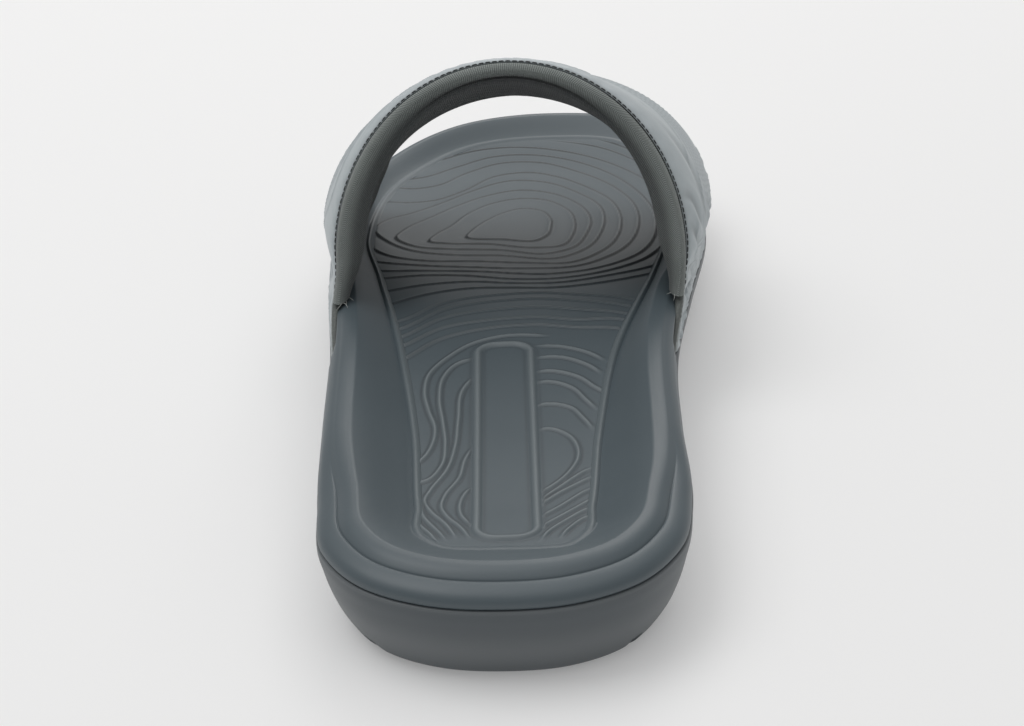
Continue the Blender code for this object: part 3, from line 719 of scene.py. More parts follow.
# %% Guide points of the lines
BALL_LOOPS = (
    ((-16.5, 208), (-14.6, 214), (-10.3, 221.5), (-6, 226.4), (-1, 229.2), (4.5, 227.5), (7.6, 221.4),
     (8, 214.3), (7, 208.5), (4.0, 204.6), (-6, 206)),
    ((-27.2, 205), (-25.5, 210), (-21.7, 215.7), (-16.7, 225.7), (-10.3, 232.9), (-2, 236.2), (6, 234.8),
     (13.3, 226), (15, 217), (14.4, 208), (11, 199.5), (4, 198.5), (-10, 202.6), (-22, 203.4)),
    ((-37, 207.5), (-34.5, 214), (-27.4, 222.9), (-20.3, 231.4), (-12.4, 237.9), (-2, 241.6),
     (9.7, 237.9), (16.5, 230), (19.6, 219), (18.3, 208), (14, 197), (7, 192.5), (-6, 197.1), (-20.3, 198.6),
     (-31, 201)),
    ((-43.8, 213.5), (-40, 220.5), (-34.6, 224.5), (-24.6, 233.6), (-16, 241.4), (-5, 247.6),
     (6.9, 245.7), (15.4, 239), (21.9, 230), (23.7, 219), (22.4, 208), (18, 196), (10, 187.5), (-6, 191.7),
     (-20, 193.2), (-30, 196.5), (-39, 204.5)),
    ((-52, 229), (-43, 232.4), (-34.6, 232.8), (-27.4, 235), (-18.9, 241.4), (-8.9, 250.8), (1, 252.6),
     (10, 249), (18.3, 242.1), (25.4, 232.9), (28.4, 221), (27.5, 206), (22.5, 193), (14, 183),
     (1.1, 183.8), (-13.1, 186.4), (-27.4, 187.6), (-37, 192), (-45, 202)),
    ((-55, 240), (-41.7, 241.9), (-33.1, 242), (-26, 245), (-18.9, 252), (-8, 258.4), (5.4, 257.9),
     (15.4, 252.1), (24, 244.3), (31.1, 232.9), (33.8, 219), (31.8, 203), (25, 188.5), (16, 179.5),
     (1.1, 178.5), (-13.1, 180.4), (-27.4, 182.9), (-42, 187.5), (-54, 198)),
    ((-55, 243.5), (-40.3, 246.4), (-31.7, 249), (-21.7, 256), (-10, 262.3), (3, 262.6), (19.7, 255),
     (28.3, 246), (35.4, 233), (38.6, 219), (37.6, 202), (31, 186), (21, 176.8), (9.7, 173.2),
     (-13.1, 176.8), (-26, 178), (-42, 178.6), (-55, 182)),
    ((-55, 248), (-37.4, 253.1), (-27.4, 259.6), (-16, 265.6), (-4, 267.4), (6.9, 265.7), (21.1, 259.3),
     (31, 250.5), (40.5, 235), (43.5, 217), (40.5, 198), (33, 182), (21.1, 172.6), (9.7, 168.8),
     (-2, 169.3), (-14.6, 173), (-26, 174), (-40, 171.2), (-55, 169)),
)
BALL_ARCS = (
    ((-46, 256), (-37.4, 260.7), (-27, 267), (-14.6, 272.1), (-3, 273), (8.3, 270.7), (24, 264.5),
     (36, 253), (46, 236)),
    ((-30, 273), (-16, 278), (-4.6, 278), (8.3, 275.6), (22.6, 270), (33.5, 261.5), (44, 247)),
    ((47, 186), (34.7, 175.7), (24, 170), (11.1, 165.2), (-1.7, 165.6), (-13.1, 167.6), (-24.6, 165.8),
     (-36, 160.2), (-48, 152)),
    ((45, 176), (31.1, 167.9), (21.1, 163.6), (9.7, 161), (-1.7, 161.6), (-13.1, 161.8), (-23.5, 158),
     (-33, 151), (-44, 141)),
)
#   height along at the middle, at the lateral end and at the medial end
WAIST_ARCS = (
    (157.0, 141.0, 152.5),
    (152.6, 136.0, 147.6),
    (146.8, 131.0, 142.5),
    (140.5, 125.4, 138.5),
    (136.0, 117.5, 133.0),
)
LATERAL_LINES = (
    ((10, 129.5), (-3, 129.9), (-10.3, 126.5), (-17, 118.5), (-21.2, 110), (-21.8, 101), (-20.3, 92.5),
     (-18.3, 84), (-18.4, 76), (-20, 69.5), (-24.5, 63)),
    ((-9, 118.8), (-14.5, 115), (-17.5, 108.4), (-18, 99), (-16.4, 86), (-15.3, 75), (-15.8, 64.5),
     (-18.5, 58.5), (-25, 56)),
    ((-9, 110), (-12.2, 102.8), (-12.8, 88), (-12.9, 74.5), (-14.3, 63), (-17.6, 53.2), (-18.6, 48.5),
     (-17, 43.5), (-13.5, 37), (-10, 28)),
    ((-8, 76), (-10.2, 68), (-11.2, 59), (-14, 51), (-14.6, 45.8), (-12.8, 40), (-10, 35), (-7, 28)),
    ((-7, 56.5), (-9.5, 51.5), (-10.4, 46.4), (-9.8, 41), (-7.6, 36), (-3, 29.5)),
    ((-20, 50), (-18.5, 41), (-15.2, 33.5), (-12, 27)),
    ((-22.5, 47), (-19.5, 37), (-15.8, 30), (-14, 26)),
)
MEDIAL_LINES = (
    ((4.5, 81.8), (9.7, 82.6), (14, 79.2), (16.3, 73), (16.4, 67.6), (14.2, 60.6), (10, 54), (5, 49)),
    ((4, 93.8), (9.7, 94.9), (14.5, 93), (17.6, 87.6), (20.5, 81)),
    ((4, 105.2), (9.9, 105.4), (14.8, 102.4), (18.5, 96), (21.5, 91)),
    ((4, 110.7), (11.1, 110.4), (16.8, 107.2), (20.5, 102.5), (25, 98)),
    ((4, 117.8), (12.4, 117.5), (18.2, 113.8), (23, 108.2)),
    ((4, 124.2), (12.4, 123.2), (18.2, 120.2), (24, 114.5)),
    ((20.5, 64), (18, 61.4), (12.6, 54.4), (7.6, 47.2), (5, 42)),
    ((21, 60), (18.2, 57.2), (11.2, 50), (6.5, 43.2), (4, 37)),
    ((21, 54.6), (18, 51.6), (12, 44.2), (7.4, 38.4), (4, 32)),
    ((21.5, 50), (18.4, 46.6), (13.2, 40.2), (8.6, 33.8), (6, 28)),
    ((21.5, 45.4), (18.4, 42.9), (14.2, 37.6), (10, 31), (8, 26)),
    ((21.5, 41), (18, 38.2), (15, 33.4), (12.2, 27)),
)


def waist_arc(middle, lateral, medial):
    """Guide points of one arch across the waist, from bead to bead."""
    return ((38, medial - 7), (26, medial), (16, middle - 2.0), (6, middle), (-5, middle - 0.8),
            (-19, (middle + lateral) / 2 + 2.4), (-29, lateral), (-44, lateral - 9))


CONTOUR_STEPS = 8        # chords between two guide points
#   the lines, whether they are loops, and how far terraces: 1, or 0 for threads
FAMILIES = (
    (BALL_LOOPS, True, 1.0),
    (BALL_ARCS, False, 1.0),
    ([waist_arc(*row) for row in WAIST_ARCS], False, 0.30),
    (LATERAL_LINES + MEDIAL_LINES, False, 0.0),
)
CONTOURS = [(smooth_curve(guides, CONTOUR_STEPS, closed=loop), loop, terrace)
            for lines, loop, terrace in FAMILIES for guides in lines]
print("contour lines:", len(CONTOURS))

# %% [markdown]
# ## Relief from the distance to a line
#
# A mould maker cuts each contour with the same small cutter.  Here the cutter is a
# function of the signed distance to the nearest line: a round thread, or a step
# that dies away on both sides.  Two masks of painted light go with it: a painted
# highlight on the crests and a painted shade at the feet.  A terrace that falls
# toward the toes hides its own riser from the camera, so it is lower there and its
# painted shade lies on the side that is seen.  The plaque in the heel is the same
# idea with the distance to a rounded rectangle.

# %% Relief functions
THREAD_HEIGHT = 0.55
THREAD_HALF = 0.75       # half the width of a raised thread
STEP_HEIGHT = 0.48
STEP_RANGE = 1.4         # distance in which a terrace dies away
STEP_HALF = 0.20         # half the width of a terrace's riser
THREAD_LEFT = 0.4        # of a thread's height that a terrace keeps as its crest
END_TAPER = 5.0          # a line sinks into the panel over its last stretch
TOE_END, TOE_FADE = 0.955, 6.0           # share of the length where lines end, and over what
REACH = 6.0              # a line changes nothing farther away than this
#   a terrace's number where it falls sideways, and what toe-ward and heel-ward add
STEP_SHARE = (1.0, -0.65, -0.5)          # height
# painted shade at a terrace's foot, and a painted highlight on its lip
FOOT_SHADE_PLACE = (0.14, -0.24, 0.0)          # dark foot, distance down from the line
FOOT_SHADE_WIDTH = (0.40, 0.22, -0.12)
LIP_PLACE = (-0.45, -0.35, 0.0)          # pale lip
LIP_WIDTH, LIP_HIGHLIGHT = 0.32, 0.55
# painted shade beside a thread
BESIDE_PLACE, BESIDE_WIDTH, BESIDE_SHADE = 0.95, 0.28, 0.6    # dark foot of a thread
PLAQUE_LENGTH, PLAQUE_WIDTH = 0.3474 * SOLE_LENGTH, 15.6
PLAQUE_BEAD = 2.0
PLAQUE_RISE = 0.75
PLAQUE_CORNER = 6.0
PLAQUE_PLACE = 0.270     # its middle, share of the sole's length
PLAQUE_OFFSET = -0.9     # its middle, toward the lateral side
PLAQUE_TURN = 2.2        # degrees, its front end toward the lateral side


def by_fall(row, ahead, back):
    """A terrace's number where it falls toward the toes by ahead, or the heel by back."""
    return row[0] + row[1] * ahead + row[2] * back


def line_distance(points, line):
    """Distance to a line of short chords, and three more numbers about it.

    They are the place along it, its whole length, and how far its falling side is
    turned toward the heel.  Each point takes the nearest place on every chord, and
    then the nearest chord.  The distance's sign is that of the cross product of
    the chord and the way to the point.
    """
    start = line[:-1]
    chord = line[1:] - start
    way = points[:, None] - start[None]
    share = np.clip((way * chord).sum(2) / (chord**2).sum(1), 0, 1)
    off = way - chord * share[..., None]
    square = (off**2).sum(2)
    near = square.argmin(1)
    pick = np.arange(len(points))
    side = chord[near, 0] * way[pick, near, 1] - chord[near, 1] * way[pick, near, 0]
    length = running_length(line)
    along = length[near] + share[pick, near] * np.diff(length)[near]
    turned = -chord[near, 0] / np.linalg.norm(chord, axis=1)[near]
    return np.sqrt(square[pick, near]) * np.sign(side), along, length[-1], turned


def plaque_distance(x, y):
    """Distance to the plaque's edge, negative inside: that of a rounded box."""
    turn = math.radians(PLAQUE_TURN)
    dx = x - PLAQUE_OFFSET
    dy = y - PLAQUE_PLACE * SOLE_LENGTH
    px = np.abs(dx * math.cos(turn) + dy * math.sin(turn)) - PLAQUE_WIDTH / 2 + PLAQUE_CORNER
    py = np.abs(dy * math.cos(turn) - dx * math.sin(turn)) - PLAQUE_LENGTH / 2 + PLAQUE_CORNER
    outside = np.hypot(np.maximum(px, 0), np.maximum(py, 0))
    return outside + np.minimum(np.maximum(px, py), 0) - PLAQUE_CORNER


def panel_relief(x, y):
    """Relief in millimetres, and masks of the painted highlight on the crests and of the painted shade at
    the feet.
    """
    flat = np.column_stack([x.ravel(), y.ravel()])
    relief = np.zeros(len(flat))
    painted_highlight = np.zeros(len(flat))
    foot = np.zeros(len(flat))
    clear = ease((plaque_distance(flat[:, 0], flat[:, 1]) - 0.1) / 0.8)
    for line, loop, terrace in CONTOURS:
        line = np.vstack([line, line[:1]]) if loop else line
        inside = np.all((flat > line.min(0) - REACH) & (flat < line.max(0) + REACH), axis=1)
        near = np.flatnonzero(inside)
        if not len(near):
            continue
        distance, along, total, turned = line_distance(flat[near], line)
        ends = np.ones(len(near)) if loop else ease(np.minimum(along, total - along) / END_TAPER)
        weight = ends * clear[near] * ease((TOE_END * SOLE_LENGTH - flat[near, 1]) / TOE_FADE)
        thread = np.cos(np.clip(distance / THREAD_HALF, -1, 1) * math.pi / 2) ** 2
        back, ahead = np.clip(turned, 0, 1), np.clip(-turned, 0, 1)
        step = -np.tanh(distance / STEP_HALF) * np.exp(-np.abs(distance) / STEP_RANGE)
        step *= by_fall(STEP_SHARE, ahead, back)
        thread_height = THREAD_HEIGHT * (1 - (1 - THREAD_LEFT) * terrace)
        relief[near] += weight * (thread_height * thread + STEP_HEIGHT * step * terrace)
        lip_highlight = LIP_HIGHLIGHT * terrace * bell(distance - by_fall(LIP_PLACE, ahead, back), LIP_WIDTH)
        painted_light = np.maximum(thread * (1 - 0.85 * terrace), lip_highlight)
        painted_highlight[near] = np.maximum(painted_highlight[near], weight * painted_light)
        beside_shade = BESIDE_SHADE * bell(np.abs(distance) - BESIDE_PLACE, BESIDE_WIDTH) * (1 - terrace)
        riser_shade = bell(distance - by_fall(FOOT_SHADE_PLACE, ahead, back), by_fall(FOOT_SHADE_WIDTH, ahead, back))
        dark = np.maximum(beside_shade, min(1.8 * terrace, 1) * riser_shade)
        foot[near] = np.maximum(foot[near], weight * dark)
    edge = plaque_distance(flat[:, 0], flat[:, 1])
    across = np.clip((edge + PLAQUE_BEAD / 2) / (0.62 * PLAQUE_BEAD), -1, 1)
    frame_bead = np.cos(across * math.pi / 2) ** 1.2
    relief += PLAQUE_RISE * frame_bead
    # painted highlight on the plaque's frame bead, and painted shade at its two feet
    painted_highlight = np.maximum(painted_highlight, 0.8 * frame_bead)
    for place in (0.8, -PLAQUE_BEAD - 0.7):
        foot = np.maximum(foot, 0.3 * bell(edge - place, 0.45))
    return [value.reshape(x.shape) for value in (relief, painted_highlight, foot)]


print("a thread is", 2 * THREAD_HALF, "mm wide")

# %% [markdown]
# ## The panel
#
# The panel is the floor of the footbed between the beads.  It is a fine grid of
# rungs, about half a millimetre apart both ways, so that each thread and terrace
# has real faces.  Its edge is tucked under the bead's inner foot.

# %% Bed panel
PANEL_ALONG, PANEL_ACROSS = 570, 164
PANEL_TUCK = 0.35
PANEL_DEPTH = 1.1


def even_halves(loop, count):
    """The loop resampled so that both halves have `count` equal chords."""
    half = len(loop) // 2
    sides = []
    for side in (loop[:half + 1], np.vstack([loop[half:], loop[:1]])):
        length = running_length(side)
        sides.append(along_line(np.linspace(0, length[-1], count + 1)[:-1], length, side))
    return np.vstack(sides)


fine_edge = plan_loop(3, 60)
under_bead = BEAD_WIDTH / 2 - PANEL_TUCK
panel_plan = even_halves(fine_edge + inward(fine_edge) * under_bead, PANEL_ALONG)
panel_top = bed_height(panel_plan[:, 0], panel_plan[:, 1])
panel_points, panel_faces = stacked_solid(
    [ring_at(panel_plan, panel_top - PANEL_DEPTH), ring_at(panel_plan, panel_top)],
    lambda x, y: bed_height(x, y) - PANEL_DEPTH, bed_height, 2, PANEL_ACROSS)
top_from = len(panel_points) - (PANEL_ALONG - 1) * (PANEL_ACROSS - 1)
masks = np.zeros((2, len(panel_points)))
relief, masks[0, top_from:], masks[1, top_from:] = panel_relief(*panel_points[top_from:, :2].T)
panel_points[top_from:, 2] += relief
panel = make_piece("bed_panel", panel_points, panel_faces)
# the contour lines' painted highlight and painted shade, for the panel's material
add_values(panel, "painted_highlight", masks[0])
add_values(panel, "foot", masks[1])
belongs(panel, None)
print("relief from", round(relief.min(), 2), "to", round(relief.max(), 2), "mm")

# %% [markdown]
# ## The strap as one arch
#
# The strap is stretched over a last, so every cut across it is an arch: a leg from
# the sole, half an ellipse over the foot and the other leg.  The whole surface is
# a grid, with the place round the arch one way and the share from the rear edge to
# the front edge the other way.

# %% Strap surface
LEG_STEPS, ARCH_STEPS = 34, 236


def strap_grid(shares, foot_level):
    """Middle surface of the strap, a row of points for each edge share.

    The foot of each leg is found by going back and forth between its height and
    its place along the sole.  A leg leans in by a smooth step; the arch is half
    an ellipse about the spring height.
    """
    v = np.asarray(shares, float)[:, None]
    half, centre, spring, rise = strap_section(np.clip(v, 0, 1))
    foot = spring
    for _ in range(12):
        foot = foot_level(strap_along(foot, v))
    z = foot + (spring - foot) * np.arange(LEG_STEPS) / LEG_STEPS
    y = strap_along(z, v)
    seat = level("parting", y)
    lean = (z - seat) / (spring - seat)
    lean = lean * lean * (3 - 2 * lean)
    legs = []
    for side in (-1, 1):
        low = outline_x(side, y) - side * (SHELL_WALL / 2 + GAP)
        legs.append(np.dstack([low + (centre + side * half - low) * lean, y, z]))
    angle = math.pi * np.arange(ARCH_STEPS + 1) / ARCH_STEPS
    top = spring + rise * np.sin(angle)
    arch = np.dstack([centre - half * np.cos(angle), strap_along(top, v), top])
    return np.concatenate([legs[0], arch, legs[1][:, ::-1]], axis=1)


def surface_normals(grid):
    """Outward unit normals: the cross product of the grid's two directions."""
    normal = np.cross(np.gradient(grid, axis=0), np.gradient(grid, axis=1))
    normal /= np.linalg.norm(normal, axis=2)[:, :, None]
    return normal * np.sign(normal[len(grid) // 2, grid.shape[1] // 2, 2])


def pillow(v):
    """Padded profile between the two edges: the root of 1 - |2v - 1|⁴."""
    return np.sqrt(np.maximum(1 - np.abs(2 * np.clip(v, 0, 1) - 1) ** 4, 0))


def flank_share(grid):
    """Place round the arch: 0 at the crown, -1 and +1 at the two flanks."""
    side = np.clip(2 * grid[:, :, 0] / BALL_WIDTH, -1, 1)
    return np.sign(side) * np.abs(side) ** 1.5


def path_lengths(grid):
    """Millimetres round the arch from the crown, and in from the rear edge."""
    around = running_length(grid, axis=1)
    crown = around[:, LEG_STEPS + ARCH_STEPS // 2]
    return around - crown[:, None], running_length(grid)


def closed_sheet(outer, inner):
    """Closed wall between two grids of the same shape, with its four edges."""
    rows, columns = outer.shape[:2]
    points = np.vstack([outer.reshape(-1, 3), inner.reshape(-1, 3)])
    index = np.arange(rows * columns).reshape(rows, columns)
    rim = np.concatenate([index[0], index[1:, -1], index[-1, -2::-1], index[-2:0:-1, 0]])
    edge = np.column_stack([rim, np.roll(rim, -1)])
    below = rows * columns
    band = np.column_stack([edge, edge[:, ::-1] + below])
    face = grid_quads(rows, columns, False)
    return points, np.vstack([face, face[:, ::-1] + below, band])


print("strap columns:", 2 * LEG_STEPS + ARCH_STEPS + 1)

# %% [markdown]
# ## Padding, creases and embossing of the shell
#
# The outer shell is a soft synthetic leather over foam.  The foam fills it out
# between the edges, the stitched edge pulls small puckers into it, and the inner
# flank has creases where the strap bends into the sole.  Its face is embossed
# with a map of its own.  A cloth simulation would give other creases on each run,
# so they are placed one by one in the strap's own measures, as soft troughs with a
# ridge on either side.

# %% Strap shell
PUFF_RISE = 16.0         # height over the rim in which the padding fills out
LATERAL_PUFF, CROWN_PUFF, MEDIAL_PUFF = 3.8, 2.4, 5.4
SHELL_ROWS = 104
SEAM_SINK = 0.55         # the stitches pull the shell's edge down
RAW_BELOW = 36.0         # under this height the rear edge is cut raw
EMBOSS_DEPTH = 0.28
EMBOSS_HALF = 0.75
EMBOSS_FROM, EMBOSS_OVER = 3.5, 2.5      # in from the edge, where the embossing sets in
PUCKER_DEPTH, PUCKER_PITCH = 0.11, 6.1
PUCKER_INSET, PUCKER_SPREAD = 2.2, 1.3
#   ridges beside a crease: share of its depth, place and width in its own widths
RIDGE_SHARE, RIDGE_PLACE, RIDGE_WIDTH = 0.55, 1.9, 0.9
#   round from the crown, in from the rear edge, length, width, turn, depth
CREASES = (
    (84.0, 22.0, 26.0, 1.5, 78.0, 0.75),
    (88.0, 29.0, 22.0, 1.3, 70.0, 0.60),
    (92.0, 17.0, 16.0, 1.2, 96.0, 0.65),
    (76.0, 31.0, 24.0, 1.6, 62.0, 0.50),
    (97.0, 9.0, 12.0, 1.3, 28.0, 0.90),
    (104.0, 8.0, 11.0, 1.3, 22.0, 0.95),
    (110.5, 7.5, 11.0, 1.2, 18.0, 0.90),
    (117.0, 7.0, 10.0, 1.2, 14.0, 0.80),
    (62.0, 14.0, 30.0, 2.2, 12.0, 0.35),
    (68.0, 6.0, 14.0, 1.4, 35.0, 0.50),
    (77.0, 8.0, 16.0, 1.3, 50.0, 0.60),
    (85.0, 7.0, 12.0, 1.2, 60.0, 0.65),
    (91.0, 9.0, 14.0, 1.2, 75.0, 0.75),
    (-96.0, 10.0, 14.0, 1.6, -20.0, 0.55),
    (-88.0, 26.0, 22.0, 2.0, -70.0, 0.35),
)


def leg_fade(grid):
    """Share of the padding: none at the sole, full a little above the rim."""
    return ease((grid[:, :, 2] - level("rim", grid[:, :, 1])) / PUFF_RISE)


def edge_shares(rows):
    """Edge shares from the rear edge to the front edge, closer at the edges."""
    return (1 - np.cos(math.pi * np.arange(rows + 1) / rows)) / 2


def puffed_shell(shares, foot_level):
    """Outer face of the shell: the middle surface moved out by the padding."""
    middle = strap_grid(shares, foot_level)
    side = flank_share(middle)
    flank = np.where(side < 0, LATERAL_PUFF, MEDIAL_PUFF)
    fullness = CROWN_PUFF + (flank - CROWN_PUFF) * np.abs(side)
    puff = fullness * pillow(shares)[:, None] * leg_fade(middle) + SHELL_WALL / 2
    return middle + surface_normals(middle) * puff[:, :, None]


def crease_field(around, inside):
    """Depth of the creases: a Gaussian trough less two Gaussian ridges beside it."""
    field = np.zeros_like(around)
    for place, inset, length, width, turn, depth in CREASES:
        angle = math.radians(turn)
        a = (around - place) * math.cos(angle) + (inside - inset) * math.sin(angle)
        b = (inside - inset) * math.cos(angle) - (around - place) * math.sin(angle)
        b = b + 0.9 * np.sin(a * 4.4 / length + place)
        window = np.exp(-(a / (length / 2)) ** 4)
        ridges = RIDGE_SHARE * bell(np.abs(b) / width - RIDGE_PLACE, RIDGE_WIDTH)
        field += depth * window * (ridges - bell(b, width))
    return field


def emboss_field(around, inside):
    """Distance in millimetres to the nearest level line of a few waves."""
    hill = (0.115 * inside + 0.055 * around + 1.5 * np.sin(around / 17 + 0.6) * np.cos(inside / 13)
            + 0.9 * np.sin(inside / 8.5 + around / 23) + 0.7 * np.cos(around / 9.5 - inside / 19))
    slope_v = np.gradient(hill, axis=0) / np.maximum(np.gradient(inside, axis=0), 0.05)
    slope_u = np.gradient(hill, axis=1) / np.maximum(np.gradient(around, axis=1), 0.05)
    return np.abs(hill - np.round(hill)) / np.maximum(np.hypot(slope_u, slope_v), 0.05)


def add_strap_map(piece, around, inside):
    """UV map in metres: u round the arch, v in from the rear edge."""
    mesh = piece.data
    corners = np.empty(len(mesh.loops), np.int32)
    mesh.loops.foreach_get("vertex_index", corners)
    flat = np.column_stack([around.ravel(), inside.ravel()]) * MM
    flat = np.vstack([flat, flat])
    layer = mesh.uv_layers.new(name="strap_map")
    layer.data.foreach_set("uv", flat[corners].astype(np.float32).ravel())


def keep_above(foot_level, *sheets):
    """Raise the points of each sheet that lie under the level they stand on."""
    for sheet in sheets:
        sheet[:, :, 2] = np.maximum(sheet[:, :, 2], foot_level(sheet[:, :, 1]))


def shell_foot(y):
    """Height that the shell's feet stand on, just over the outsole's edge."""
    return level("parting", y) + GAP


shares = edge_shares(SHELL_ROWS)
shell_face = puffed_shell(shares, shell_foot)
around, inside = path_lengths(shell_face)
shell_normals = surface_normals(shell_face)
creases = crease_field(around, inside)
emboss = np.cos(np.clip(emboss_field(around, inside) / EMBOSS_HALF, 0, 1) * math.pi / 2) ** 2
width = inside[-1]
from_edge = np.minimum(inside, width - inside)
seam_sink = SEAM_SINK * bell(from_edge, 0.9)
pucker = np.cos(2 * math.pi * around / PUCKER_PITCH + 1.3 * np.sin(around / 11))
pucker *= bell(from_edge - PUCKER_INSET, PUCKER_SPREAD)
emboss *= ease((from_edge - EMBOSS_FROM) / EMBOSS_OVER)
height = creases + EMBOSS_DEPTH * emboss - seam_sink + PUCKER_DEPTH * pucker
shell_outer = shell_face + shell_normals * height[:, :, None]
shell_inner = shell_face - shell_normals * SHELL_WALL
keep_above(shell_foot, shell_outer, shell_inner)
shell = make_piece("strap_shell_skin", *closed_sheet(shell_outer, shell_inner), sharp=60)
add_strap_map(shell, around, inside)
raw = ease((RAW_BELOW - shell_face[:, :, 2]) / 6) * ease((1.8 - inside) / 1.2)
#   a number for the outer face, then one for the inner face
add_values(shell, "emboss", np.stack([emboss, 0 * emboss]))
# painted shade in the creases, darker where the trough is deeper
add_values(shell, "crease_shade", np.stack([np.clip(-creases, 0, 1), 0 * creases]))
add_values(shell, "raw", np.stack([raw, raw]))
belongs(shell, "strap_shell")

# %% [markdown]
# ## The padded lining
#
# Inside the shell lies foam, covered by a fine ribbed knit that is pulled over the
# foam and sewn to the shell's edge.  The pad is a closed form: its outer face
# follows the shell and its inner face is crowned, so that it bulges past the edge
# as a soft roll.  Cloth pressure could swell it, but its form is set by the last
# and the seam, and the pillow formula gives just that.  Two more numbers go on
# the mesh for the material: the smooth front hem, and a painted shade that darkens
# the knit deep inside the strap, most of all under the crown.

# %% Strap lining
CROWN_LINING, FLANK_LINING = 4.4, 8.2    # padding inside the middle surface
LINING_ROLL = 2.2        # lining that shows beyond the shell's edge, at the crown
LINING_GAP = 0.5
NOSE_RISE = 0.5          # the roll's top over the middle surface
NOSE_AXIS = -1.0         # height of the roll's foremost line
INNER_NOSE = 5.5         # way in which the inner face curves away from the roll
HEM_WIDTH, HEM_FADE = 9.0, 4.0
# painted shade inside the strap: how far in it is full, and how much less the flanks get
DEEP_FROM_EDGE = 3.5     # way in from the rear edge to the full dark tone
FLANK_PALER = 0.6        # of that tone that the flanks lose
LINING_ROWS = 84


def lining_foot(y):
    """Height that the lining's ends stand on, just over the footbed's rim."""
    return level("rim", y) + 2 * GAP


def nose(way, size):
    """Round nose: the root of 1 - (1 - way / size)², nearly 0 at the tip and then 1."""
    return np.sqrt(1 - (1 - np.clip(way / size, 0.003, 1)) ** 2)


strap_width = SOLE_LENGTH * (STRAP_EDGES[-1][2] - STRAP_EDGES[-1][1])
roll = LINING_ROLL / strap_width
lining_shares = -roll + (1 + 2 * roll) * edge_shares(LINING_ROWS)
middle = strap_grid(lining_shares, lining_foot)
normals = surface_normals(middle)
lining_way = path_lengths(middle)[1]
tip = np.minimum(lining_way, lining_way[-1] - lining_way)
past = lining_way[-1] * roll / (1 + 2 * roll) - tip
face = ((puffed_shell(lining_shares, lining_foot) - middle) * normals).sum(2)
face = face - SHELL_WALL - LINING_GAP
over = face + ease(past / 0.8) * (NOSE_RISE - face)
outer_rise = NOSE_AXIS + (over - NOSE_AXIS) * nose(tip, LINING_ROLL)
fullness = CROWN_LINING + (FLANK_LINING - CROWN_LINING) * np.abs(flank_share(middle))
fullness = (fullness + NOSE_AXIS) * (0.45 + 0.55 * leg_fade(middle))
fullness *= 0.9 + 0.1 * pillow(lining_shares)[:, None]
lining_outer = middle + normals * outer_rise[:, :, None]
lining_inner = middle + normals * (NOSE_AXIS - fullness * nose(tip, INNER_NOSE))[:, :, None]
keep_above(lining_foot, lining_outer, lining_inner)
lining_around, lining_inside = path_lengths(lining_inner)
lining = make_piece("strap_lining_skin", *closed_sheet(lining_outer, lining_inner), sharp=70)
add_strap_map(lining, lining_around, lining_inside)
hem = ease((lining_inside - lining_inside[-1] + HEM_WIDTH) / HEM_FADE)
add_values(lining, "hem", np.stack([hem, hem]))
# painted shade deep inside the strap, on the inner face only
inner_shade = ease(lining_inside / DEEP_FROM_EDGE) * (1 - FLANK_PALER * np.abs(flank_share(lining_inner)))
add_values(lining, "inner_shade", np.stack([0 * inner_shade, inner_shade]))
belongs(lining, "strap_lining")

# %% [markdown]
# ## Stitches
#
# A lockstitch in dark thread joins the lining to the shell, along both edges.  Each
# stitch is a short bar with round ends that dips at its holes.  One stitch is a
# small tube, and the whole seam is that tube carried to every place at once.

# %% Stitch seams
STITCH_INSET = 0.5       # from the shell's edge to the seam
STITCH_PITCH = 1.75
STITCH_LENGTH = 1.5
THREAD_RADIUS = 0.17
STITCH_SIDES, STITCH_RINGS = 6, 6


def tubes(paths, radii, sides):
    """Closed tubes along many short paths at once.

    `paths` is seams × points × 3 and `radii` points long.  Round each path point
    runs a circle in the plane across the path's direction; the ends close to a
    point.  Returns points and quads.
    """
    direction = np.gradient(paths, axis=1)
    direction /= np.linalg.norm(direction, axis=2)[..., None]
    helper = np.where(np.abs(direction[..., 2:3]) < 0.8, [0.0, 0, 1], [1.0, 0, 0])
    first = np.cross(direction, helper)
    first /= np.linalg.norm(first, axis=2)[..., None]
    second = np.cross(direction, first)
    angle = 2 * math.pi * np.arange(sides) / sides
    circle = first[:, :, None] * np.cos(angle)[:, None] + second[:, :, None] * np.sin(angle)[:, None]
    points = paths[:, :, None] + circle * np.asarray(radii)[None, :, None, None]
    count = paths.shape[1]
    block = grid_quads(count, sides, True)
    ends = [[*range(sides)][::-1], [*range((count - 1) * sides, count * sides)]]
    shift = count * sides * np.arange(len(paths))
    quads = (block[None] + shift[:, None, None]).reshape(-1, 4).tolist()
    caps = [[k + s for k in end] for s in shift.tolist() for end in ends]
    return points.reshape(-1, 3), quads + caps


def seam_line(sheet, inset, front):
    """The points of a strap grid that lie at a distance in from one of its edges."""
    way = (inside[-1] - inside)[::-1] if front else inside
    grid = sheet[::-1] if front else sheet
    return np.array([along_line(inset, way[:, c], grid[:, c]) for c in range(grid.shape[1])])


def stitch_seam(front, skips):
    """Tubes of one seam along an edge of the shell, some millimetres from its ends."""
    line = seam_line(shell_outer, STITCH_INSET, front)
    out = seam_line(shell_normals, STITCH_INSET, front)
    length = running_length(line)
    share = np.linspace(-1, 1, STITCH_RINGS)
    middles = np.arange(skips[0], length[-1] - skips[1], STITCH_PITCH)
    at = middles[:, None] + share * STITCH_LENGTH / 2
    lift = along_line(at, length, out) * (THREAD_RADIUS * (0.3 - 1.3 * share**4))[:, None]
    radii = THREAD_RADIUS * (1 - 0.5 * share**6)
    return tubes(along_line(at, length, line) + lift, radii, STITCH_SIDES)


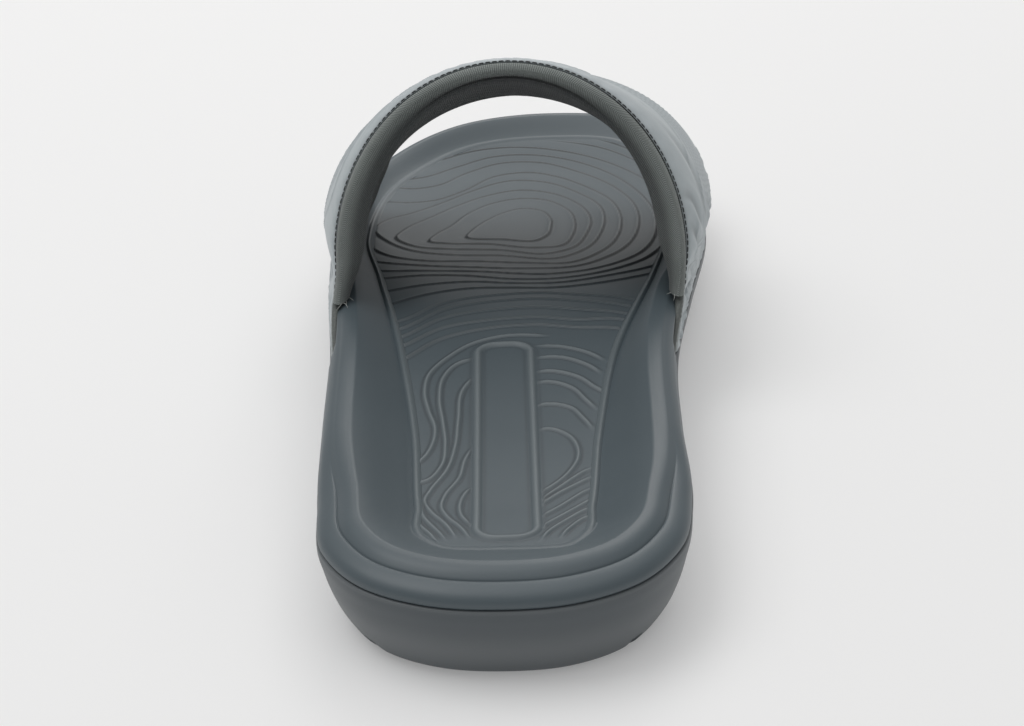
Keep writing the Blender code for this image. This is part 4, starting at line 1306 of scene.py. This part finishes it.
#   name, whether at the front edge, and what is left free at the lateral and medial end
SEAMS = (("rear_stitches", False, (21.0, 12.0)), ("front_stitches", True, (10.0, 10.0)))
for name, front, skips in SEAMS:
    belongs(make_piece(name, *stitch_seam(front, skips)))

# %% [markdown]
# ## Frayed tails and loose fibres
#
# The lining is cut off short of the sole, but its seam allowance goes on down the
# shell's rear edge as a frayed tail on either leg.  Beside the cut a few fibres of
# the knit have come loose.  Hair particles would be random; a handful of bent and
# tapered tubes can be placed.

# %% Tails and fibres
TAIL_LENGTH = 15.0       # under the lining's cut
TAIL_ABOVE = 2.5         # and over it
TAIL_RADIUS = 1.35
TAIL_STEPS = 24
TAIL_BEHIND, TAIL_WAVE = 0.35, 0.12      # behind the shell's edge, and its unevenness
FIBRE_RADIUS = 0.09
FIBRE_STEPS = 8
#   side, row of the lining, length, and the way it points: across, along, up
FIBRES = (
    (-1, 3, 1.9, (-0.6, -1.0, -0.5)),
    (-1, 5, 2.4, (0.9, -0.8, 0.1)),
    (-1, 8, 1.6, (0.3, -1.0, -0.6)),
    (-1, 12, 2.2, (1.0, -0.3, -0.3)),
    (1, 4, 1.7, (0.2, -1.0, -0.4)),
    (1, 7, 1.5, (-0.7, -0.8, 0.2)),
)


def fibre_paths():
    """Short arcs from the lining's cut ends: along the way, sinking as a square."""
    t = np.linspace(0, 1, FIBRE_STEPS)[:, None]
    paths = []
    for side, row, length, way in FIBRES:
        start = lining_inner[row, 1 if side < 0 else -2]
        way = np.array(way) / np.linalg.norm(way)
        bend = np.cross(way, [0, 0, 1.0]) * 0.35 + np.array([0, 0, -0.3])
        paths.append(start + length * (way * t + bend * t**2))
    return np.array(paths)


def tail_paths():
    """The shell's rear edge below the lining's ends, from the cut downward."""
    outward = seam_line(shell_normals, 0.0, False)
    edge = seam_line(shell_outer, 0.0, False) - outward * (SHELL_WALL / 2)
    paths = []
    for side in (-1, 1):
        leg = edge[:len(edge) // 2] if side < 0 else edge[len(edge) // 2:][::-1]
        cut_height = lining_inner[3, 0 if side < 0 else -1, 2]
        heights = np.linspace(cut_height + TAIL_ABOVE, cut_height - TAIL_LENGTH, TAIL_STEPS)
        path = along_line(heights, leg[:, 2], leg)
        path[:, 1] -= TAIL_BEHIND + TAIL_WAVE * np.sin(np.arange(TAIL_STEPS) * 1.7)
        paths.append(path)
    return np.array(paths)


share = np.linspace(0, 1, TAIL_STEPS)
tail_radii = TAIL_RADIUS * (0.1 + 0.9 * ease(share / 0.25)) * (1 - 0.85 * share)
tails = make_piece("lining_tails", *tubes(tail_paths(), tail_radii, 10))
belongs(tails)
fibre_radii = FIBRE_RADIUS * np.linspace(1, 0.5, FIBRE_STEPS)
fibres = make_piece("loose_fibres", *tubes(fibre_paths(), fibre_radii, 5))
belongs(fibres)

# %% [markdown]
# ## Shared effects
#
# Foam, leather and knit share two effects: a fine grain and a soft unevenness of
# colour.  Each is a node group that puts out one number, so that the materials
# stay short and the effects look alike everywhere.

# %% Node helpers
def group(name, inputs):
    """New shader node group with named number inputs and one output, Value."""
    tree = bpy.data.node_groups.new(name, "ShaderNodeTree")
    for label, default in inputs:
        socket = tree.interface.new_socket(label, in_out="INPUT", socket_type="NodeSocketFloat")
        socket.default_value = default
    tree.interface.new_socket("Value", in_out="OUTPUT", socket_type="NodeSocketFloat")
    start = tree.nodes.new("NodeGroupInput")
    end = tree.nodes.new("NodeGroupOutput")
    return tree, start, end


def node(tree, kind, **values):
    """New node; values whose names are sockets go to them, the others are settings."""
    made = tree.nodes.new("ShaderNode" + kind)
    for key, value in values.items():
        label = key.replace("_", " ")
        if label in made.inputs:
            made.inputs[label].default_value = value
        else:
            setattr(made, key, value)
    return made


def math_node(tree, operation, a, b=None, clamp=False):
    """Math node that takes sockets or numbers, and gives its output socket."""
    made = tree.nodes.new("ShaderNodeMath")
    made.operation = operation
    made.use_clamp = clamp
    for socket, value in zip(made.inputs, (a, b)):
        if value is None:
            continue
        if isinstance(value, (int, float)):
            socket.default_value = value
        else:
            tree.links.new(value, socket)
    return made.outputs[0]


def times(tree, a, b, clamp=False):
    """The product of two sockets or numbers."""
    return math_node(tree, "MULTIPLY", a, b, clamp)


def grain_group():
    """Fine grain: pebbles from cell borders, mixed with a finer noise."""
    inputs = (("Pebbles per m", 900.0), ("Noise per m", 2600.0), ("Mix", 0.5))
    tree, start, end = group("fine_grain", inputs)
    place = node(tree, "TexCoord")
    cells = node(tree, "TexVoronoi", feature="SMOOTH_F1")
    noise = node(tree, "TexNoise", Detail=3.0, Roughness=0.6)
    for texture, label in ((cells, "Pebbles per m"), (noise, "Noise per m")):
        tree.links.new(place.outputs["Object"], texture.inputs["Vector"])
        tree.links.new(start.outputs[label], texture.inputs["Scale"])
    mix = start.outputs["Mix"]
    pebbles = times(tree, cells.outputs["Distance"], mix)
    finer = times(tree, noise.outputs["Fac"], math_node(tree, "SUBTRACT", 1.0, mix))
    tree.links.new(math_node(tree, "ADD", pebbles, finer), end.inputs["Value"])
    return tree


def mottle_group():
    """Soft unevenness from 0 to 1: broad noise with a little smaller noise."""
    tree, start, end = group("soft_mottle", (("Per m", 30.0), ("Contrast", 1.0)))
    place = node(tree, "TexCoord")
    noise = node(tree, "TexNoise", Detail=4.0, Roughness=0.55)
    tree.links.new(place.outputs["Object"], noise.inputs["Vector"])
    tree.links.new(start.outputs["Per m"], noise.inputs["Scale"])
    centred = math_node(tree, "SUBTRACT", noise.outputs["Fac"], 0.5)
    spread = times(tree, centred, start.outputs["Contrast"])
    tree.links.new(math_node(tree, "ADD", spread, 0.5, clamp=True), end.inputs["Value"])
    return tree


GRAIN = grain_group()
MOTTLE = mottle_group()
print("groups:", GRAIN.name, MOTTLE.name)

# %% [markdown]
# ## Materials
#
# Every material is a Principled shader with plain numbers on its own sockets.
# Colour runs from a dark to a light tone by a mask, and a small bump gives the
# grain.

# %% Material helpers
def use_group(tree, shared, **values):
    """A shared group placed in a material, with its own values."""
    made = tree.nodes.new("ShaderNodeGroup")
    made.node_tree = shared
    for key, value in values.items():
        made.inputs[key.replace("_", " ")].default_value = value
    return made.outputs["Value"]


def new_material(name, roughness, **sockets):
    """Material with one Principled shader and plain socket values."""
    material = bpy.data.materials.new(name)
    material.use_nodes = True
    shader = material.node_tree.nodes["Principled BSDF"]
    shader.inputs["Roughness"].default_value = roughness
    for key, value in sockets.items():
        shader.inputs[key.replace("_", " ")].default_value = value
    return material, material.node_tree, shader


def tone(tree, mask, under, over):
    """Colour from one to another by a mask from 0 to 1.

    The one under is a tone or the socket of a colour; the one over is a tone.
    """
    mix = tree.nodes.new("ShaderNodeMix")
    mix.data_type = "RGBA"
    factor, a, b = mix.inputs[0], mix.inputs[6], mix.inputs[7]
    if isinstance(under, tuple):
        a.default_value = (*under, 1)
    else:
        tree.links.new(under, a)
    b.default_value = (*over, 1)
    tree.links.new(mask, factor)
    return mix.outputs[2]


def bump(tree, height, distance, strength, normal=None):
    """Bump from a height between 0 and 1 times a distance in metres."""
    made = tree.nodes.new("ShaderNodeBump")
    made.inputs["Distance"].default_value = distance
    made.inputs["Strength"].default_value = strength
    tree.links.new(height, made.inputs["Height"])
    if normal is not None:
        tree.links.new(normal, made.inputs["Normal"])
    return made.outputs["Normal"]


def value_of(tree, name):
    """Socket of a number kept on the mesh."""
    made = tree.nodes.new("ShaderNodeAttribute")
    made.attribute_name = name
    return made.outputs["Fac"]


def laid_over(tree, colour, layers):
    """Colour under layers, each with a number kept on the mesh, a share and a tone."""
    for name, share, over in layers:
        colour = tone(tree, times(tree, value_of(tree, name), share), colour, over)
    return colour


def finish(tree, shader, colour, normal):
    """Lead the colour and the bumped normal into the shader."""
    tree.links.new(colour, shader.inputs["Base Color"])
    tree.links.new(normal, shader.inputs["Normal"])


def dress(piece, material):
    """Give the piece this one material."""
    piece.data.materials.clear()
    piece.data.materials.append(material)


# %% [markdown]
# ## Foam
#
# The sole is blue-grey EVA foam with a matt skin.  It is nearly one colour; what
# changes is a faint cloudiness and the finest grain.  The lower part is a little
# warmer.  Over that lie the numbers kept on the meshes, all of them painted light:
# painted bounce light on the wall and a painted highlight on its lip, a painted
# highlight on the bead, and painted highlights on the crests and painted shade at
# the feet of the contour lines.

# %% Foam
def foam(name, dark, light, roughness, layers):
    """Matt foam skin: two close tones with a faint mottle under layers of painted light, fine grain."""
    material, tree, shader = new_material(name, roughness, Specular_IOR_Level=0.55)
    colour = tone(tree, use_group(tree, MOTTLE, Per_m=22.0, Contrast=1.6), dark, light)
    grain = use_group(tree, GRAIN, Pebbles_per_m=1500.0, Noise_per_m=4200.0, Mix=0.35)
    finish(tree, shader, laid_over(tree, colour, layers), bump(tree, grain, 0.00005, 0.5))
    return material


FOAM_DARK, FOAM_LIGHT = (0.064, 0.085, 0.097), (0.077, 0.100, 0.113)
WALL_DARK, WALL_LIGHT = (0.066, 0.079, 0.087), (0.079, 0.093, 0.102)
#   number kept on the mesh, share of it, tone
# painted light: bounce light and a lip highlight on the wall, a highlight on the bead, highlights and shade
# on the panel's lines
WALL_LAYERS = (("painted_wall_light", 1.0, (0.135, 0.148, 0.155)),)
FOOTBED_LAYERS = (("painted_highlight", 0.45, (0.150, 0.175, 0.183)),)
PANEL_LAYERS = (("painted_highlight", 0.9, (0.165, 0.190, 0.200)), ("foot", 0.9, (0.018, 0.021, 0.025)))
dress(outsole, foam("outsole_foam", WALL_DARK, WALL_LIGHT, 0.46, WALL_LAYERS))
dress(footbed, foam("footbed_foam", FOAM_DARK, FOAM_LIGHT, 0.44, FOOTBED_LAYERS))
dress(panel, foam("panel_foam", FOAM_DARK, FOAM_LIGHT, 0.55, PANEL_LAYERS))
print("foam tones:", FOAM_DARK, FOAM_LIGHT)

# %% [markdown]
# ## Synthetic leather, knit and thread
#
# The shell is a pale grey coated fabric with a satin face, with painted shade in its
# creases.  The lining is a knit whose ribs run across the strap, so they follow the
# strap's own map and not the room; deep inside it is painted darker with shade, and
# its front hem is smooth.  The thread is nearly black.

# %% Strap materials
LEATHER_DARK, LEATHER_LIGHT = (0.405, 0.448, 0.466), (0.455, 0.498, 0.514)
# the creases' tone is painted shade
LEATHER_LAYERS = (("emboss", 0.9, (0.315, 0.355, 0.375)), ("crease_shade", 0.8, (0.110, 0.125, 0.135)))
TORN_TONE = (0.220, 0.235, 0.228)
KNIT_DARK, KNIT_LIGHT = (0.126, 0.140, 0.136), (0.305, 0.335, 0.320)
# the first layer is painted shade deep inside the strap
KNIT_LAYERS = (("inner_shade", 0.95, (0.032, 0.036, 0.038)), ("hem", 1.0, (0.075, 0.084, 0.086)))
RIB_PITCH, COURSE_PITCH = 0.00052, 0.0006    # metres: ribs, and rows of loops across them


def leather():
    """Satin coated fabric: pebble grain, darker lines, painted shade in the creases, pale raw edge."""
    material, tree, shader = new_material("strap_leather", 0.46, Specular_IOR_Level=0.5)
    cloud = use_group(tree, MOTTLE, Per_m=35.0, Contrast=1.4)
    colour = laid_over(tree, tone(tree, cloud, LEATHER_DARK, LEATHER_LIGHT), LEATHER_LAYERS)
    grain = use_group(tree, GRAIN, Pebbles_per_m=1100.0, Noise_per_m=3800.0, Mix=0.6)
    torn = times(tree, value_of(tree, "raw"), times(tree, grain, 1.3, clamp=True))
    finish(tree, shader, tone(tree, torn, colour, TORN_TONE), bump(tree, grain, 0.00010, 0.6))
    return material


def knit():
    """Ribbed knit from the strap map: ribs across the strap, painted shade inside, smooth hem."""
    material, tree, shader = new_material("rib_knit", 0.88, Specular_IOR_Level=0.25,
                                          Sheen_Weight=0.25, Sheen_Roughness=0.5)
    strap_map = node(tree, "UVMap", uv_map="strap_map")
    parts = node(tree, "SeparateXYZ")
    tree.links.new(strap_map.outputs["UV"], parts.inputs[0])
    around, inside = parts.outputs[0], parts.outputs[1]
    wave = math_node(tree, "SINE", times(tree, around, 2 * math.pi / RIB_PITCH))
    rib = math_node(tree, "ADD", times(tree, wave, 0.5), 0.5)
    course = math_node(tree, "SINE", times(tree, inside, 2 * math.pi / COURSE_PITCH))
    weave = math_node(tree, "ADD", rib, times(tree, course, 0.18))
    weave = times(tree, weave, math_node(tree, "SUBTRACT", 1.0, value_of(tree, "hem")))
    cloud = use_group(tree, MOTTLE, Per_m=60.0, Contrast=1.5)
    mask = times(tree, rib, math_node(tree, "ADD", times(tree, cloud, 0.6), 0.5))
    colour = laid_over(tree, tone(tree, mask, KNIT_DARK, KNIT_LIGHT), KNIT_LAYERS)
    finish(tree, shader, colour, bump(tree, weave, 0.00018, 0.8))
    return material


def thread(name, dark, light):
    """Twisted thread or fibre between two tones."""
    material, tree, shader = new_material(name, 0.6)
    twist = use_group(tree, GRAIN, Pebbles_per_m=2500.0, Noise_per_m=5000.0, Mix=0.5)
    finish(tree, shader, tone(tree, twist, dark, light), bump(tree, twist, 0.0001, 0.6))
    return material


dress(shell, leather())
dress(lining, knit())
dark_thread = thread("dark_thread", (0.012, 0.013, 0.014), (0.040, 0.043, 0.046))
for name in ("rear_stitches", "front_stitches"):
    dress(bpy.data.objects[name], dark_thread)
dress(tails, thread("frayed_knit", (0.035, 0.040, 0.038), (0.170, 0.186, 0.176)))
dress(fibres, thread("pale_fibre", (0.30, 0.32, 0.30), (0.50, 0.52, 0.50)))
print("materials:", len(bpy.data.materials))

# %% [markdown]
# ## Floor
#
# The shoe stands on a pale sheet.  The sheet also glows a little, as the bright
# paper round a studio subject does, which a light from below could not imitate.

# %% Floor
FLOOR_SIZE = 6.0         # metres
FLOOR_DARK, FLOOR_LIGHT = (0.61, 0.61, 0.61), (0.63, 0.63, 0.63)
FLOOR_GLOW = 0.23
WHITE = (1.0, 1.0, 1.0)


def make_floor():
    """Pale square floor under the sole."""
    mesh = bpy.data.meshes.new("floor")
    half = FLOOR_SIZE / 2
    corners = [(-half, -half, 0), (half, -half, 0), (half, half, 0), (-half, half, 0)]
    mesh.from_pydata(corners, [], [(0, 1, 2, 3)])
    floor = new_object("floor", mesh)
    material, tree, shader = new_material("floor_paper", 0.9, Specular_IOR_Level=0.1)
    cloud = use_group(tree, MOTTLE, Per_m=3.0, Contrast=0.5)
    tree.links.new(tone(tree, cloud, FLOOR_DARK, FLOOR_LIGHT), shader.inputs["Base Color"])
    shader.inputs["Emission Color"].default_value = (*WHITE, 1)
    shader.inputs["Emission Strength"].default_value = FLOOR_GLOW
    dress(floor, material)
    floor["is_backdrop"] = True


make_floor()
print("floor", FLOOR_SIZE, "m wide")

# %% [markdown]
# ## Light
#
# The photo has soft light from all round.  One large box hangs over the shoe, a
# smaller one behind the toes draws the light edge on the rims, and a third at the
# lateral side makes that side a little brighter.  A lit sky alone would give no
# such edges.

# %% Light
WORLD_STRENGTH = 0.35
#   name, place and target in metres, size, power in watts, colour
SOFTBOXES = (
    ("ceiling_softbox", (0, 0.1, 2.2), (0, 0.1, 0), 3.0, 22.3, WHITE),
    ("toe_softbox", (0.1, 1.1, 0.9), (0, 0.05, 0.03), 0.8, 4.6, (1.0, 0.98, 0.96)),
    ("key_softbox", (-0.7, 0.0, 1.3), (0, 0, 0), 1.0, 5.8, WHITE),
)


def area_light(name, place, target, size, power, colour):
    """Square soft light at a place in metres, turned toward a target."""
    data = bpy.data.lights.new(name, "AREA")
    data.shape = "SQUARE"
    data.size = size
    data.energy = power
    data.color = colour
    light = new_object(name, data)
    light.location = place
    light.rotation_mode = "QUATERNION"
    light.rotation_quaternion = (Vector(target) - Vector(place)).to_track_quat("-Z", "Y")


def make_world():
    """Faint white light from all round; the softboxes give the rest."""
    world = bpy.data.worlds.new("studio")
    world.use_nodes = True
    background = world.node_tree.nodes["Background"]
    background.inputs["Color"].default_value = (*WHITE, 1)
    background.inputs["Strength"].default_value = WORLD_STRENGTH
    bpy.context.scene.world = world


make_world()
for softbox in SOFTBOXES:
    area_light(*softbox)
bpy.context.scene.view_settings.view_transform = "Standard"
print("softboxes:", len(SOFTBOXES))

# %% [markdown]
# ## Camera
#
# The camera stands where the photographer's did, above and behind the heel and a
# little to the inner side, and is turned so that the one shoe fills the frame.

# %% Camera
CAMERA_AT = (24.5, -410.8, 275.0)        # millimetres, from the back of the heel
CAMERA_DOWN, CAMERA_RIGHT = 26.2, 2.8    # degrees, the way the photo looks
PHOTO_FOCAL = 2000.0                     # pixels
PHOTO_SIZE = (1024, 726)
SHOE_MIDDLE = (338, 346)                 # pixel of the photo where the shoe's middle is
CLOSER = 1.15                            # the shoe a little larger in the frame
SENSOR = 36.0                            # millimetres, the camera's width of view


def make_camera():
    """Camera at the photo's place, turned the short way to the shoe's middle."""
    data = bpy.data.cameras.new("camera")
    data.sensor_width = SENSOR
    data.lens = SENSOR * PHOTO_FOCAL / PHOTO_SIZE[0] * CLOSER
    data.clip_start, data.clip_end = 0.05, 30.0
    camera = new_object("camera", data)
    photo = Euler((math.radians(90 - CAMERA_DOWN), 0, math.radians(-CAMERA_RIGHT))).to_quaternion()
    aim = Vector((SHOE_MIDDLE[0] - PHOTO_SIZE[0] / 2, PHOTO_SIZE[1] / 2 - SHOE_MIDDLE[1], -PHOTO_FOCAL))
    camera.rotation_mode = "QUATERNION"
    camera.rotation_quaternion = photo @ Vector((0, 0, -1)).rotation_difference(aim)
    camera.location = (Vector(CAMERA_AT) - Vector((0, SOLE_LENGTH / 2, 0))) * MM
    bpy.context.scene.camera = camera
    print("lens", round(data.lens, 1), "mm")


make_camera()

# %% [markdown]
# ## Sizes
#
# The dressed shoe must stay in the box of its solids.  Both boxes are printed.

# %% Finish
dressed_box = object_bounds()
boxes = {"cad": [list(corner) for corner in cad_box],
         "dressed": [list(corner) for corner in dressed_box]}
for name, box in boxes.items():
    print(name, [round((b - a) / MM, 1) for a, b in zip(*box)], "mm")
